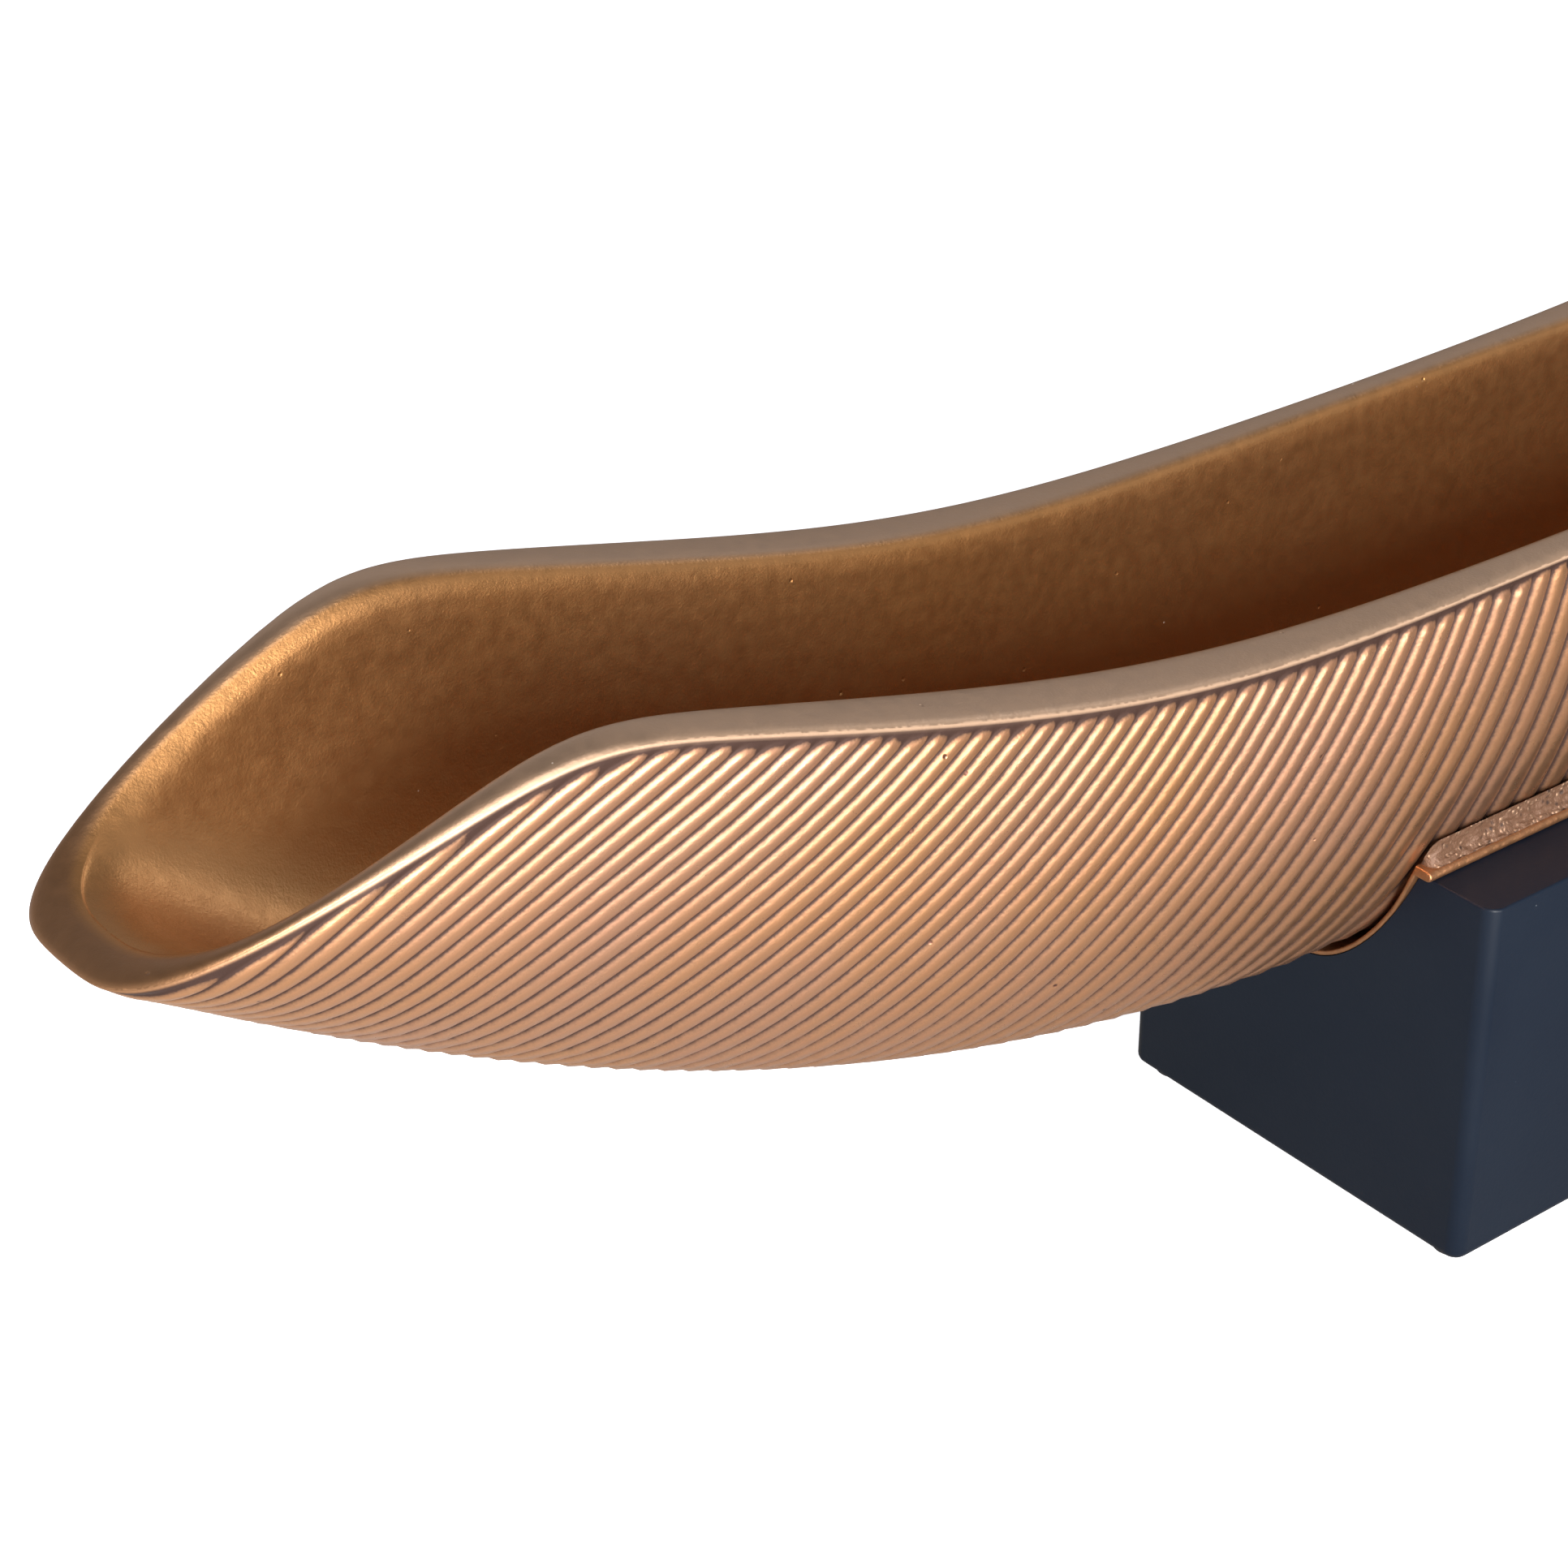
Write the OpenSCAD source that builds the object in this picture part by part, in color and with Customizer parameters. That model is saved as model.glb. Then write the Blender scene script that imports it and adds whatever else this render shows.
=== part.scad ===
// Long ribbed centrepiece bowl, carried by a saddle on a square plinth.
// Millimetres. X runs along the bowl, Y across it and Z up.
// The origin is the centre of the footprint, on the surface that the pads rest on.

/* [Bowl] */
// Length of the bowl from tip to tip
bowl_l = 760; // [640:10:900]
// Nominal width that the plan curve is drawn from
bowl_w = 116; // [104:1:124]
// How much the middle of the plan is drawn in, as a fraction
waist = 0.176; // [0.10:0.002:0.20]
// Height of the rim over the plinth's top, at the middle
rim_mid_h = 79.7; // [76:0.1:86]
// Height of the rim over the plinth's top, at the tips
rim_tip_h = 87.5; // [84:0.1:92]
// Depth of the keel below the plinth's top, at the middle
keel_sink = 35.8; // [33:0.1:38]
// Nominal width of the hollow
hollow_w = 70; // [60:1:74]
// Thickness of the floor at the keel
floor_t = 12; // [10:0.5:16]

/* [Saddle] */
// Thickness of the saddle's cradle wall
cradle_t = 1.2; // [1.2:0.1:3.2]
// Thickness of the ledge that lies on the plinth
ledge_t = 2.6; // [2:0.1:3.2]
// Half the width across the ledges
ledge_y = 38.6; // [38:0.1:44]
// How far the saddle stands out of the plinth at each end
cradle_lip = 1.8; // [1.5:0.1:3]

/* [Plinth] */
// Width and depth of the square plinth
plinth_w = 112.4; // [108:0.4:126]
// Height of the plinth without its pads
plinth_h = 98.4; // [96:0.4:120]
// Radius of the plinth's upright edges
plinth_r = 4; // [2:0.5:6]
// Thickness of the casing's walls
casing_t = 11; // [9:0.5:14]
// Thickness of the board that closes the underside
board_t = 6; // [5:0.5:8]
// Thickness of the corner pads
pad_t = 2; // [1.6:0.1:4]

/* [Fixings] */
// Distance between the two mounting bolts
bolt_pitch = 56; // [40:1:60]
// Diameter of the mounting bolts
bolt_d = 6; // [5:0.5:6]
// Distance from the plinth's centre to each board screw, in X and in Y
screw_xy = 40; // [39.5:0.1:40.5]

/* [Hidden] */
$fn = 48;
eps = 0.02;

// The bowl's plan and sheer, as fractions of its half length
half_l = bowl_l / 2;
plan_power = 0.3;
waist_reach = 0.723;
sheer_slope = 109.1;
sheer_start = 0.376;
sheer_soft = 0.077;
fall_slope = 153.6;
shoulder_soft = 6.25;
// The hull's section and keel
section_power = 1.79;
keel_power = 2.255;
// The hollow's plan, section and floor
hollow_end = 0.97;
hollow_swell = 0.097;
hollow_reach = 0.445;
hollow_power = 10;
hollow_round = 0.35;
hollow_crowd = 8;
hollow_section = 2.0;
inner_lift = 0.6;
// Steps along one half of the bowl, and across one half of a section
along_n = 26;
across_n = 12;

// Heights on the plinth
plinth_top = pad_t + plinth_h;
casing_z = pad_t;
seat_gap = 0.3;
recess_gap = 0.2;
cradle_l = plinth_w + 2 * cradle_lip;
seat_n = 24;
seat_step = 0.5;
bead_h = 6.5;
bead_gap = 0.25;
bead_inset = 1;
bead_steps = 6;

// Bolts, with their heads, washers and bosses; the ratios are to the bolt's diameter
boss_d = 16;
boss_l = 10;
boss_rise = 3;
bolt_clear = 0.6;
tap_clear = 0.1;
head_ratio = 1.65;
socket_ratio = 0.83;
washer_ratio = 2;
spring_ratio = 1.8;
head_d = bolt_d * head_ratio;
head_h = bolt_d;
socket_af = bolt_d * socket_ratio;
socket_h = bolt_d / 2;
washer_d = bolt_d * washer_ratio;
washer_t = 1.6;
spring_d = bolt_d * spring_ratio;
spring_t = 1.8;
spring_split = 1;
web_t = 20;
thread_in = 9;
// How far a cut runs on past the face that it opens
overrun = 1;

// The trough's recess, the cavity below it and the ballast in that
recess_z = plinth_top - keel_sink - seat_gap - cradle_t;
cavity_top = recess_z - recess_gap - web_t;
cavity_w = plinth_w - 2 * casing_t;
ballast_gap = 0.5;
ballast_hole_clear = 4;
head_room = 2;
ballast_z = casing_z + board_t;
ballast_h = cavity_top - ballast_z - head_h - washer_t - spring_t - head_room;
// Lugs, board screws with a cross recess, and pads
lug_w = 13;
screw_d = 4;
screw_l = 16;
screw_head_d = 8;
screw_head_h = 2.4;
screw_sink = 0.2;
countersink_clear = 0.5;
cross_l = 4;
cross_w = 0.8;
cross_h = 1.2;
pad_d = 10;
pad_in = 3;

function softplus(t) = ln(1 + exp(t));
function clamp0(t) = max(t, 0);

// Half width of the bowl's plan at u, where side is the cosine that closes the tip
function plan_w(u, side) = bowl_w / 2 * side * (1 - waist * pow(clamp0(1 - pow(u / waist_reach, 2)), 2));

// Height of the rim: a soft-started ramp to the shoulder and then a fall to the tip
function ramp_h(u) = rim_mid_h + sheer_slope * sheer_soft * softplus((u - sheer_start) / sheer_soft);
function fall_h(u) = rim_tip_h + fall_slope * (1 - u);
function rim_h(u) = plinth_top
    - shoulder_soft * ln(exp(-ramp_h(u) / shoulder_soft) + exp(-fall_h(u) / shoulder_soft));

// Height of the keel, outside and in the hollow
function keel_h(u) = plinth_top - keel_sink + (rim_h(1) - plinth_top + keel_sink) * pow(u, keel_power);
function floor_h(u) = let (v = u / hollow_end, low = plinth_top - keel_sink + floor_t)
    low + (rim_h(hollow_end) + inner_lift - low) * pow(v, keel_power);

// Half width of the hollow's plan
function hollow_half(u) = hollow_w / 2
    * pow(clamp0(1 - pow(u / hollow_end, hollow_power)), hollow_round)
    * (1 + hollow_swell * pow(clamp0(1 - pow(u / hollow_reach, 2)), 2));

// One point of a section: a superellipse from the edge (a = -90) over the keel (a = 0) to a = 90
function signed_pow(v, p) = sign(v) * pow(abs(v), p);
function section(x, w, top, low, power, a) =
    [x, w * signed_pow(sin(a), 2 / power), top - (top - low) * pow(cos(a), 2 / power)];

// One row of the hull and one of the hollow, at plan angle t from -90 at one tip to 90 at the other
function across_a(j) = 90 * j / across_n;
function hull_u(t) = sqrt(1 - pow(cos(t), 1 / plan_power));
function hollow_u(t) = let (u = hull_u(t)) u * (1 - (1 - hollow_end) * pow(u, hollow_crowd));
function hull_row(t) = let (u = hull_u(t))
    [for (j = [-across_n:across_n])
        section(sign(t) * u * half_l, plan_w(u, cos(t)), rim_h(u), keel_h(u), section_power, across_a(j))];
function hollow_row(t) = let (u = hollow_u(t))
    [for (j = [-across_n:across_n])
        section(sign(t) * u * half_l, hollow_half(u), rim_h(u) + inner_lift, floor_h(u),
                hollow_section, across_a(j))];

// Half width of the saddle's seat at a section angle: the widest section's width and the deepest depth
seat_u = cradle_l / 2 / half_l;
seat_w = plan_w(seat_u, pow(1 - pow(seat_u, 2), plan_power));
seat_top = rim_h(0);
seat_low = keel_h(0);
function seat_depth(z) = clamp0(min((seat_top - z) / (seat_top - seat_low), 1));
function seat_y(z) = seat_w * pow(clamp0(1 - pow(seat_depth(z), section_power)), 1 / section_power);
// The seat's outline up to a height, moved out square to itself by grow
function seat_point(a) = let (p = section(0, seat_w, seat_top, seat_low, section_power, a)) [p[1], p[2]];
function seat_arc(grow, top) =
    let (a_top = acos(pow((seat_top - top) / (seat_top - seat_low), section_power / 2)))
    [for (j = [-seat_n:seat_n]) let (
            a = a_top * j / seat_n,
            p = seat_point(a),
            along = seat_point(a + seat_step) - p,
            d = along / norm(along))
        [p[0] + grow * d[1], p[1] - grow * d[0]]];

module along_x(length) {
    rotate([90, 0, 90]) translate([0, 0, -length / 2]) linear_extrude(length) children();
}

module rounded_square(w, r) {
    square([w - 2 * r, w], center = true);
    square([w, w - 2 * r], center = true);
    for (x = [-1, 1], y = [-1, 1]) translate([x * (w / 2 - r), y * (w / 2 - r)]) circle(r);
}

module at_bolts() {
    for (x = [-1, 1]) translate([x * bolt_pitch / 2, 0, 0]) children();
}

module at_corners(xy) {
    for (x = [-1, 1], y = [-1, 1]) translate([x * xy, y * xy, 0]) children();
}

// The cradle's trough between two offsets of the seat, closed at the plinth's top
module trough(grow, top) {
    polygon(concat(seat_arc(grow, top), [[seat_y(top) + grow, top + eps], [-seat_y(top) - grow, top + eps]]));
}

module bowl_shell() {
    angles = [for (i = [1 - along_n:along_n - 1]) 90 * i / along_n];
    rows = len(angles);
    width = 2 * across_n + 1;
    hull = [for (t = angles) each hull_row(t)];
    hollow = [for (t = angles) each hollow_row(t)];
    tips = [for (s = [-1, 1]) [s * half_l, 0, rim_h(1)]];
    hollow_tips = [for (s = [-1, 1]) [s * hollow_end * half_l, 0, rim_h(hollow_end) + inner_lift]];
    base = rows * width;
    left_tip = 2 * base;
    left_hollow = left_tip + 2;
    last = (rows - 1) * width;
    hull_faces = [for (i = [0:rows - 2], j = [0:width - 2]) let (k = i * width + j) each
        [[k, k + 1, k + width], [k + 1, k + width + 1, k + width]]];
    hollow_faces = [for (i = [0:rows - 2], j = [0:width - 2]) let (k = base + i * width + j) each
        [[k, k + width, k + 1], [k + 1, k + width, k + width + 1]]];
    rim_near = [for (i = [0:rows - 2]) let (k = i * width) each
        [[k, k + width, base + k], [base + k, k + width, base + k + width]]];
    rim_far = [for (i = [0:rows - 2]) let (k = i * width + width - 1) each
        [[k, base + k, k + width], [base + k, base + k + width, k + width]]];
    hull_ends = [for (j = [0:width - 2]) each
        [[left_tip, j + 1, j], [left_tip + 1, last + j, last + j + 1]]];
    hollow_ends = [for (j = [0:width - 2]) each
        [[left_hollow, base + j, base + j + 1], [left_hollow + 1, base + last + j + 1, base + last + j]]];
    rim_ends = [
        [left_tip, 0, base], [left_tip, base, left_hollow],
        [left_tip, left_hollow, base + width - 1], [left_tip, base + width - 1, width - 1],
        [left_tip + 1, base + last, last], [left_tip + 1, left_hollow + 1, base + last],
        [left_tip + 1, base + last + width - 1, left_hollow + 1],
        [left_tip + 1, last + width - 1, base + last + width - 1]];
    color("peru") polyhedron(
        points = concat(hull, hollow, tips, hollow_tips),
        faces = concat(hull_faces, hollow_faces, rim_near, rim_far, hull_ends, hollow_ends, rim_ends),
        convexity = 6);
}

// Trough, two ledges and the two tapped bosses under the keel
module saddle_cradle() {
    color("chocolate") difference() {
        union() {
            along_x(cradle_l) {
                trough(seat_gap + cradle_t, plinth_top);
                translate([-ledge_y, plinth_top]) square([2 * ledge_y, ledge_t]);
            }
            at_bolts() translate([0, 0, recess_z - boss_l]) cylinder(d = boss_d, h = boss_l + boss_rise);
        }
        along_x(cradle_l + 2 * overrun) trough(seat_gap, plinth_top + ledge_t);
        at_bolts() translate([0, 0, recess_z - boss_l - eps]) cylinder(d = bolt_d + tap_clear, h = boss_l);
    }
}

// Fillet between the hull and a ledge; side is -1 at the front and 1 at the back
module filler_bead(side) {
    low = plinth_top + ledge_t;
    inner = seat_gap + bead_gap;
    rise = [for (i = [0:bead_steps]) let (z = low + bead_h * i / bead_steps) [side * (seat_y(z) + inner), z]];
    color("rosybrown") along_x(plinth_w)
        polygon(concat(rise, [[side * (ledge_y - bead_inset), low]]));
}

// Block with the trough's recess on top and a cavity below
module plinth_casing() {
    color("#28323c") difference() {
        translate([0, 0, casing_z]) linear_extrude(plinth_h) rounded_square(plinth_w, plinth_r);
        along_x(plinth_w + 2 * overrun) trough(seat_gap + cradle_t + recess_gap, plinth_top);
        difference() {
            translate([-cavity_w / 2, -cavity_w / 2, casing_z - eps])
                cube([cavity_w, cavity_w, cavity_top - casing_z + eps]);
            at_corners(cavity_w / 2) translate([-lug_w, -lug_w, ballast_z])
                cube([2 * lug_w, 2 * lug_w, cavity_top]);
        }
        at_corners(screw_xy) translate([0, 0, ballast_z - eps])
            cylinder(d = screw_d + tap_clear, h = screw_l);
        at_bolts() {
            translate([0, 0, recess_z - recess_gap - boss_l])
                cylinder(d = boss_d + 2 * recess_gap, h = boss_l + boss_rise);
            translate([0, 0, cavity_top - overrun]) cylinder(d = bolt_d + bolt_clear, h = web_t);
        }
    }
}

// Dead weight that keeps the long bowl from tipping, drilled for the bolt heads
module ballast_block() {
    color("dimgray") difference() {
        translate([0, 0, ballast_z]) linear_extrude(ballast_h) difference() {
            square(cavity_w - 2 * ballast_gap, center = true);
            at_corners(cavity_w / 2) square(2 * (lug_w + ballast_gap), center = true);
        }
        at_bolts() translate([0, 0, ballast_z - overrun])
            cylinder(d = washer_d + ballast_hole_clear, h = ballast_h + 2 * overrun);
    }
}

module base_board() {
    color("saddlebrown") difference() {
        translate([0, 0, casing_z]) linear_extrude(board_t) square(cavity_w - 2 * ballast_gap, center = true);
        at_corners(screw_xy) {
            translate([0, 0, casing_z - overrun])
                cylinder(d = screw_d + bolt_clear, h = board_t + 2 * overrun);
            translate([0, 0, casing_z - eps]) cylinder(
                d1 = screw_head_d + 2 * countersink_clear, d2 = screw_d,
                h = screw_head_h + countersink_clear);
        }
    }
}

module base_board_screws() {
    color("silver") at_corners(screw_xy) translate([0, 0, casing_z + screw_sink]) difference() {
        union() {
            cylinder(d1 = screw_head_d, d2 = screw_d, h = screw_head_h);
            cylinder(d = screw_d, h = screw_l);
        }
        for (a = [0, 90]) rotate(a) translate([-cross_l / 2, -cross_w / 2, -eps])
            cube([cross_l, cross_w, cross_h]);
    }
}

module foot_pads() {
    color("black") at_corners(plinth_w / 2 - pad_in - pad_d / 2) cylinder(d = pad_d, h = pad_t);
}

// Socket-head bolts, up through the web and into the cradle's bosses
module mounting_bolts() {
    shank_z = cavity_top - washer_t - spring_t;
    shank_l = washer_t + spring_t + web_t - boss_l + thread_in;
    color("silver") at_bolts() difference() {
        union() {
            translate([0, 0, shank_z - head_h]) cylinder(d = head_d, h = head_h);
            translate([0, 0, shank_z]) cylinder(d = bolt_d, h = shank_l);
        }
        translate([0, 0, shank_z - head_h - eps]) cylinder(d = socket_af / cos(30), h = socket_h, $fn = 6);
    }
}

module flat_washers() {
    color("gainsboro") at_bolts() translate([0, 0, cavity_top - washer_t]) linear_extrude(washer_t)
        difference() {
            circle(d = washer_d);
            circle(d = bolt_d + bolt_clear);
        }
}

// Split rings under the bolt heads
module spring_washers() {
    color("darkgray") at_bolts() translate([0, 0, cavity_top - washer_t - spring_t]) linear_extrude(spring_t)
        difference() {
            circle(d = spring_d);
            circle(d = bolt_d + bolt_clear);
            translate([0, -spring_split / 2]) square([bolt_d, spring_split]);
        }
}

bowl_shell();
saddle_cradle();
filler_bead(-1);  // filler_bead_front
filler_bead(1);  // filler_bead_back
plinth_casing();
ballast_block();
base_board();
base_board_screws();
foot_pads();
mounting_bolts();
flat_washers();
spring_washers();
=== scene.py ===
"""A long ribbed copper bowl in a lined saddle on a lacquered plinth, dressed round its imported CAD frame.

Lengths are in millimetres until a mesh is made, which is in metres. Finishes and the studio are in metres.
+X runs along the bowl, +Y across it and +Z up.
"""

import logging
import math
from collections.abc import Iterator
from contextlib import contextmanager
from dataclasses import dataclass, field
from enum import Enum

import bmesh
import bpy
import numpy as np
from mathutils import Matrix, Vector


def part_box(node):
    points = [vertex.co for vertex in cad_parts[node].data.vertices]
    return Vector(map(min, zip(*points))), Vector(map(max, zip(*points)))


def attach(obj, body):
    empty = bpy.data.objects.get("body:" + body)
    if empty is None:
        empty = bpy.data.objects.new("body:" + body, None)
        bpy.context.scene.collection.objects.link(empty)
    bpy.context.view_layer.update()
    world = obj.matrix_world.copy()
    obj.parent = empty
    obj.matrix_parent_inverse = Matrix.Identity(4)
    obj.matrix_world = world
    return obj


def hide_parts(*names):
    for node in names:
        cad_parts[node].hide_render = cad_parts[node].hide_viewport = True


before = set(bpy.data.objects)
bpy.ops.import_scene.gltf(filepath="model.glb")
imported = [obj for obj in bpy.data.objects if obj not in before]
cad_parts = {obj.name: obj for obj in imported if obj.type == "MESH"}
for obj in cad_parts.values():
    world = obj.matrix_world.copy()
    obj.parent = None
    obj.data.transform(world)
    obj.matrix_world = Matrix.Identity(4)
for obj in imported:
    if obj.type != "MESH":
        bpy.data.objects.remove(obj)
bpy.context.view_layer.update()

log = logging.getLogger("ribbed_bowl")

MM = 0.001
BODY = "root"
WELD = 5e-7  # metres between points that are one point

RIGHT_ANGLE = math.pi / 2
TURN_STEPS = 48  # places round a turned piece

Colour = tuple[float, float, float]
Faces = list[np.ndarray]
Place = tuple[float, float, float]
Span = tuple[float, float]


# ---------------------------------------------------------------- small tools


def smoothstep(low: float, high: float, value: np.ndarray) -> np.ndarray:
    """Rises from 0 at low to 1 at high, as 3t^2 - 2t^3.

    Args:
        low: Value where the rise starts.
        high: Value where the rise ends.
        value: Places to work it out at.

    Returns:
        The rise at each place.
    """
    t = np.clip((value - low) / (high - low), 0.0, 1.0)
    return t * t * (3.0 - 2.0 * t)


def unit(vectors: np.ndarray) -> np.ndarray:
    """Each vector of the last axis divided by its length."""
    return vectors / np.maximum(np.linalg.norm(vectors, axis=-1, keepdims=True), 1e-12)


def grid_quads(index: np.ndarray) -> np.ndarray:
    """Quads between neighbouring rows and columns of a grid of point numbers.

    Args:
        index: Point numbers, two axes.

    Returns:
        One row of four point numbers for each cell.
    """
    corners = (index[:-1, :-1], index[1:, :-1], index[1:, 1:], index[:-1, 1:])
    return np.stack(corners, axis=-1).reshape(-1, 4)


def turned(profile: np.ndarray) -> np.ndarray:
    """Turns a profile round the Z axis: radius r goes to r cos(t), r sin(t) for even steps of t.

    Args:
        profile: Radius and height, one row for each place.

    Returns:
        Places, profile by steps round by three.
    """
    round_ = np.linspace(0.0, 2.0 * math.pi, TURN_STEPS, endpoint=False)
    radius, height = profile[:, None, 0], profile[:, None, 1]
    parts = (radius * np.cos(round_), radius * np.sin(round_), height)
    return np.stack(np.broadcast_arrays(*parts), axis=2)


def closed_grid_quads(rows: int, columns: int) -> np.ndarray:
    """Quads of a grid whose columns run on from the last to the first.

    Args:
        rows: Number of rows.
        columns: Number of columns round the closed way.

    Returns:
        One row of four point numbers for each cell.
    """
    index = np.arange(rows * columns).reshape(rows, columns)
    return grid_quads(np.concatenate([index, index[:, :1]], axis=1))


def make_object(
    name: str,
    points: np.ndarray,
    faces: Faces,
    attributes: dict[str, np.ndarray] | None = None,
    sharp_angle: float | None = None,
) -> bpy.types.Object:
    """A welded mesh object whose faces point outwards.

    Args:
        name: Object name.
        points: Places in millimetres, one row of three for each.
        faces: Arrays of point numbers, one array for each number of corners.
        attributes: A number for each point, by attribute name.
        sharp_angle: Angle in radians past which an edge shades sharp, or None for none.

    Returns:
        The object, linked to the scene.
    """
    mesh = bpy.data.meshes.new(name)
    listed = [face for block in faces for face in block.tolist()]
    mesh.from_pydata((points * MM).tolist(), [], listed)
    for label, values in (attributes or {}).items():
        layer = mesh.attributes.new(label, "FLOAT", "POINT")
        layer.data.foreach_set("value", np.ascontiguousarray(values, dtype=np.float32))
    weld(mesh)
    mesh.shade_smooth()
    if sharp_angle is not None:
        mesh.set_sharp_from_angle(angle=sharp_angle)
    return link(name, mesh)


def link(name: str, data: bpy.types.ID) -> bpy.types.Object:
    """A new object with the given data, linked to the scene."""
    obj = bpy.data.objects.new(name, data)
    bpy.context.scene.collection.objects.link(obj)
    return obj


def face_towards(obj: bpy.types.Object, way: Vector) -> None:
    """Turns a light or a camera so that it looks along a direction."""
    obj.rotation_euler = way.to_track_quat("-Z", "Y").to_euler()


@contextmanager
def editing(mesh: bpy.types.Mesh) -> Iterator[bmesh.types.BMesh]:
    """Opens a mesh as an editable shape, and writes the shape back when done.

    Args:
        mesh: The mesh to edit.

    Yields:
        The shape.
    """
    shape = bmesh.new()
    shape.from_mesh(mesh)
    yield shape
    shape.to_mesh(mesh)
    shape.free()


def weld(mesh: bpy.types.Mesh) -> None:
    """Merges points that are one point, drops what folds flat and turns the faces outwards.

    Args:
        mesh: The mesh to mend.
    """
    with editing(mesh) as shape:
        bmesh.ops.remove_doubles(shape, verts=shape.verts, dist=WELD)
        bmesh.ops.dissolve_degenerate(shape, edges=shape.edges, dist=WELD / 10)
        bmesh.ops.recalc_face_normals(shape, faces=shape.faces)


def cut_big_faces(shape: bmesh.types.BMesh) -> None:
    """Cuts every face with more than four corners into triangles."""
    bmesh.ops.triangulate(shape, faces=[face for face in shape.faces if len(face.verts) > 4])


def capped_tube(name: str, points: np.ndarray) -> bpy.types.Object:
    """A closed object through rows of places that each run round a section, with its ends cut into triangles.

    Args:
        name: Object name.
        points: Rows by places round by three.

    Returns:
        The object.
    """
    rows, columns = points.shape[:2]
    ends = np.stack([np.arange(columns)[::-1], np.arange(columns) + (rows - 1) * columns])
    faces = [closed_grid_quads(rows, columns), ends]
    obj = make_object(name, points.reshape(-1, 3), faces, sharp_angle=math.radians(50.0))
    with editing(obj.data) as shape:
        cut_big_faces(shape)
    return obj


def turned_set(name: str, profile: np.ndarray, places: list[tuple[float, float]]) -> bpy.types.Object:
    """One turned shape at several places, in one mesh.

    Args:
        name: Object name.
        profile: Radius and height, one row for each place on the profile.
        places: Where each axis stands, along and across.

    Returns:
        The object.
    """
    ring = turned(profile).reshape(-1, 3)
    quads = closed_grid_quads(len(profile), TURN_STEPS)
    points = np.concatenate([ring + np.array([x, y, 0.0]) for x, y in places])
    faces = np.concatenate([quads + number * len(ring) for number in range(len(places))])
    return make_object(name, points, [faces], sharp_angle=math.radians(40.0))


def count_triangles(obj: bpy.types.Object) -> int:
    """Number of triangles in the object's mesh."""
    obj.data.calc_loop_triangles()
    return len(obj.data.loop_triangles)


def stand_for(obj: bpy.types.Object, material: bpy.types.Material, slot: str, *nodes: str) -> None:
    """Gives a new piece its finish, its body and the CAD nodes that it stands for.

    Args:
        obj: The piece.
        material: Its finish.
        slot: Name of the slot; not used.
        nodes: CAD nodes that it replaces.
    """
    obj.data.materials.clear()
    obj.data.materials.append(material)
    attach(obj, BODY)
    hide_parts(*nodes)
    log.info("%s: %d triangles, for %s", obj.name, count_triangles(obj), ", ".join(nodes))


def dress_node(name: str, material: bpy.types.Material) -> None:
    """Gives a CAD node its finish.

    Args:
        name: Node name.
        material: Its finish.
    """
    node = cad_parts[name]
    if not node.material_slots:
        node.data.materials.append(material)
    for place in node.material_slots:
        place.material = material
    log.info("%s: CAD node, %s", name, material.name)


# ---------------------------------------------------------------- finishes


class Tree:
    """A node tree with short calls that add a node, set it and join it."""

    def __init__(self, tree: bpy.types.NodeTree) -> None:
        """Keeps the tree."""
        self.tree = tree

    def add(self, kind: str, inputs: dict | None = None, **settings: object) -> bpy.types.Node:
        """Adds a node.

        Args:
            kind: Node type without its ShaderNode prefix.
            inputs: A value or an output socket for each input, by name or number.
            settings: Properties of the node.

        Returns:
            The node.
        """
        node = self.tree.nodes.new("ShaderNode" + kind)
        for label, value in settings.items():
            setattr(node, label, value)
        for key, value in (inputs or {}).items():
            self.put(node.inputs[key], value)
        return node

    def put(self, socket: bpy.types.NodeSocket, value: object) -> None:
        """Joins an output socket to an input, or sets the input's own value.

        Args:
            socket: The input.
            value: An output socket, a number or a colour.
        """
        if isinstance(value, bpy.types.NodeSocket):
            self.tree.links.new(value, socket)
        elif isinstance(value, tuple) and len(value) == 3 and socket.type == "RGBA":
            socket.default_value = (*value, 1.0)
        else:
            socket.default_value = value

    def maths(self, operation: str, *values: object, clamp: bool = False) -> bpy.types.NodeSocket:
        """A Math node's output for the given inputs."""
        inputs = dict(enumerate(values))
        return self.add("Math", inputs, operation=operation, use_clamp=clamp).outputs[0]

    def blend(self, share: object, first: object, second: object) -> bpy.types.NodeSocket:
        """A colour mixed from first to second by share."""
        return self.add("Mix", {0: share, 6: first, 7: second}, data_type="RGBA").outputs[2]

    def between(
        self, value: object, low: float, high: float, to_low: float = 0.0, to_high: float = 1.0
    ) -> bpy.types.NodeSocket:
        """A value carried from low..high to to_low..to_high, held at the ends."""
        inputs = {0: value, 1: low, 2: high, 3: to_low, 4: to_high}
        return self.add("MapRange", inputs).outputs[0]

    def pick(self, share: object, first: object, second: object) -> bpy.types.NodeSocket:
        """A number mixed from first to second by share."""
        return self.add("Mix", {0: share, 2: first, 3: second}).outputs[0]

    def attribute(self, name: str) -> bpy.types.NodeSocket:
        """A number that the mesh carries at its points."""
        return self.add("Attribute", attribute_name=name).outputs["Fac"]

    def coordinate(self, kind: str, axis: str) -> bpy.types.NodeSocket:
        """One axis of a texture coordinate."""
        return self.add("SeparateXYZ", {0: self.add("TexCoord").outputs[kind]}).outputs[axis]


class Effect(Enum):
    """Surface effects that more than one finish uses, each a node group."""

    GRAIN = "sprayed_grain"
    CLOUD = "slow_cloud"
    PITS = "pits_and_specks"


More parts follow.
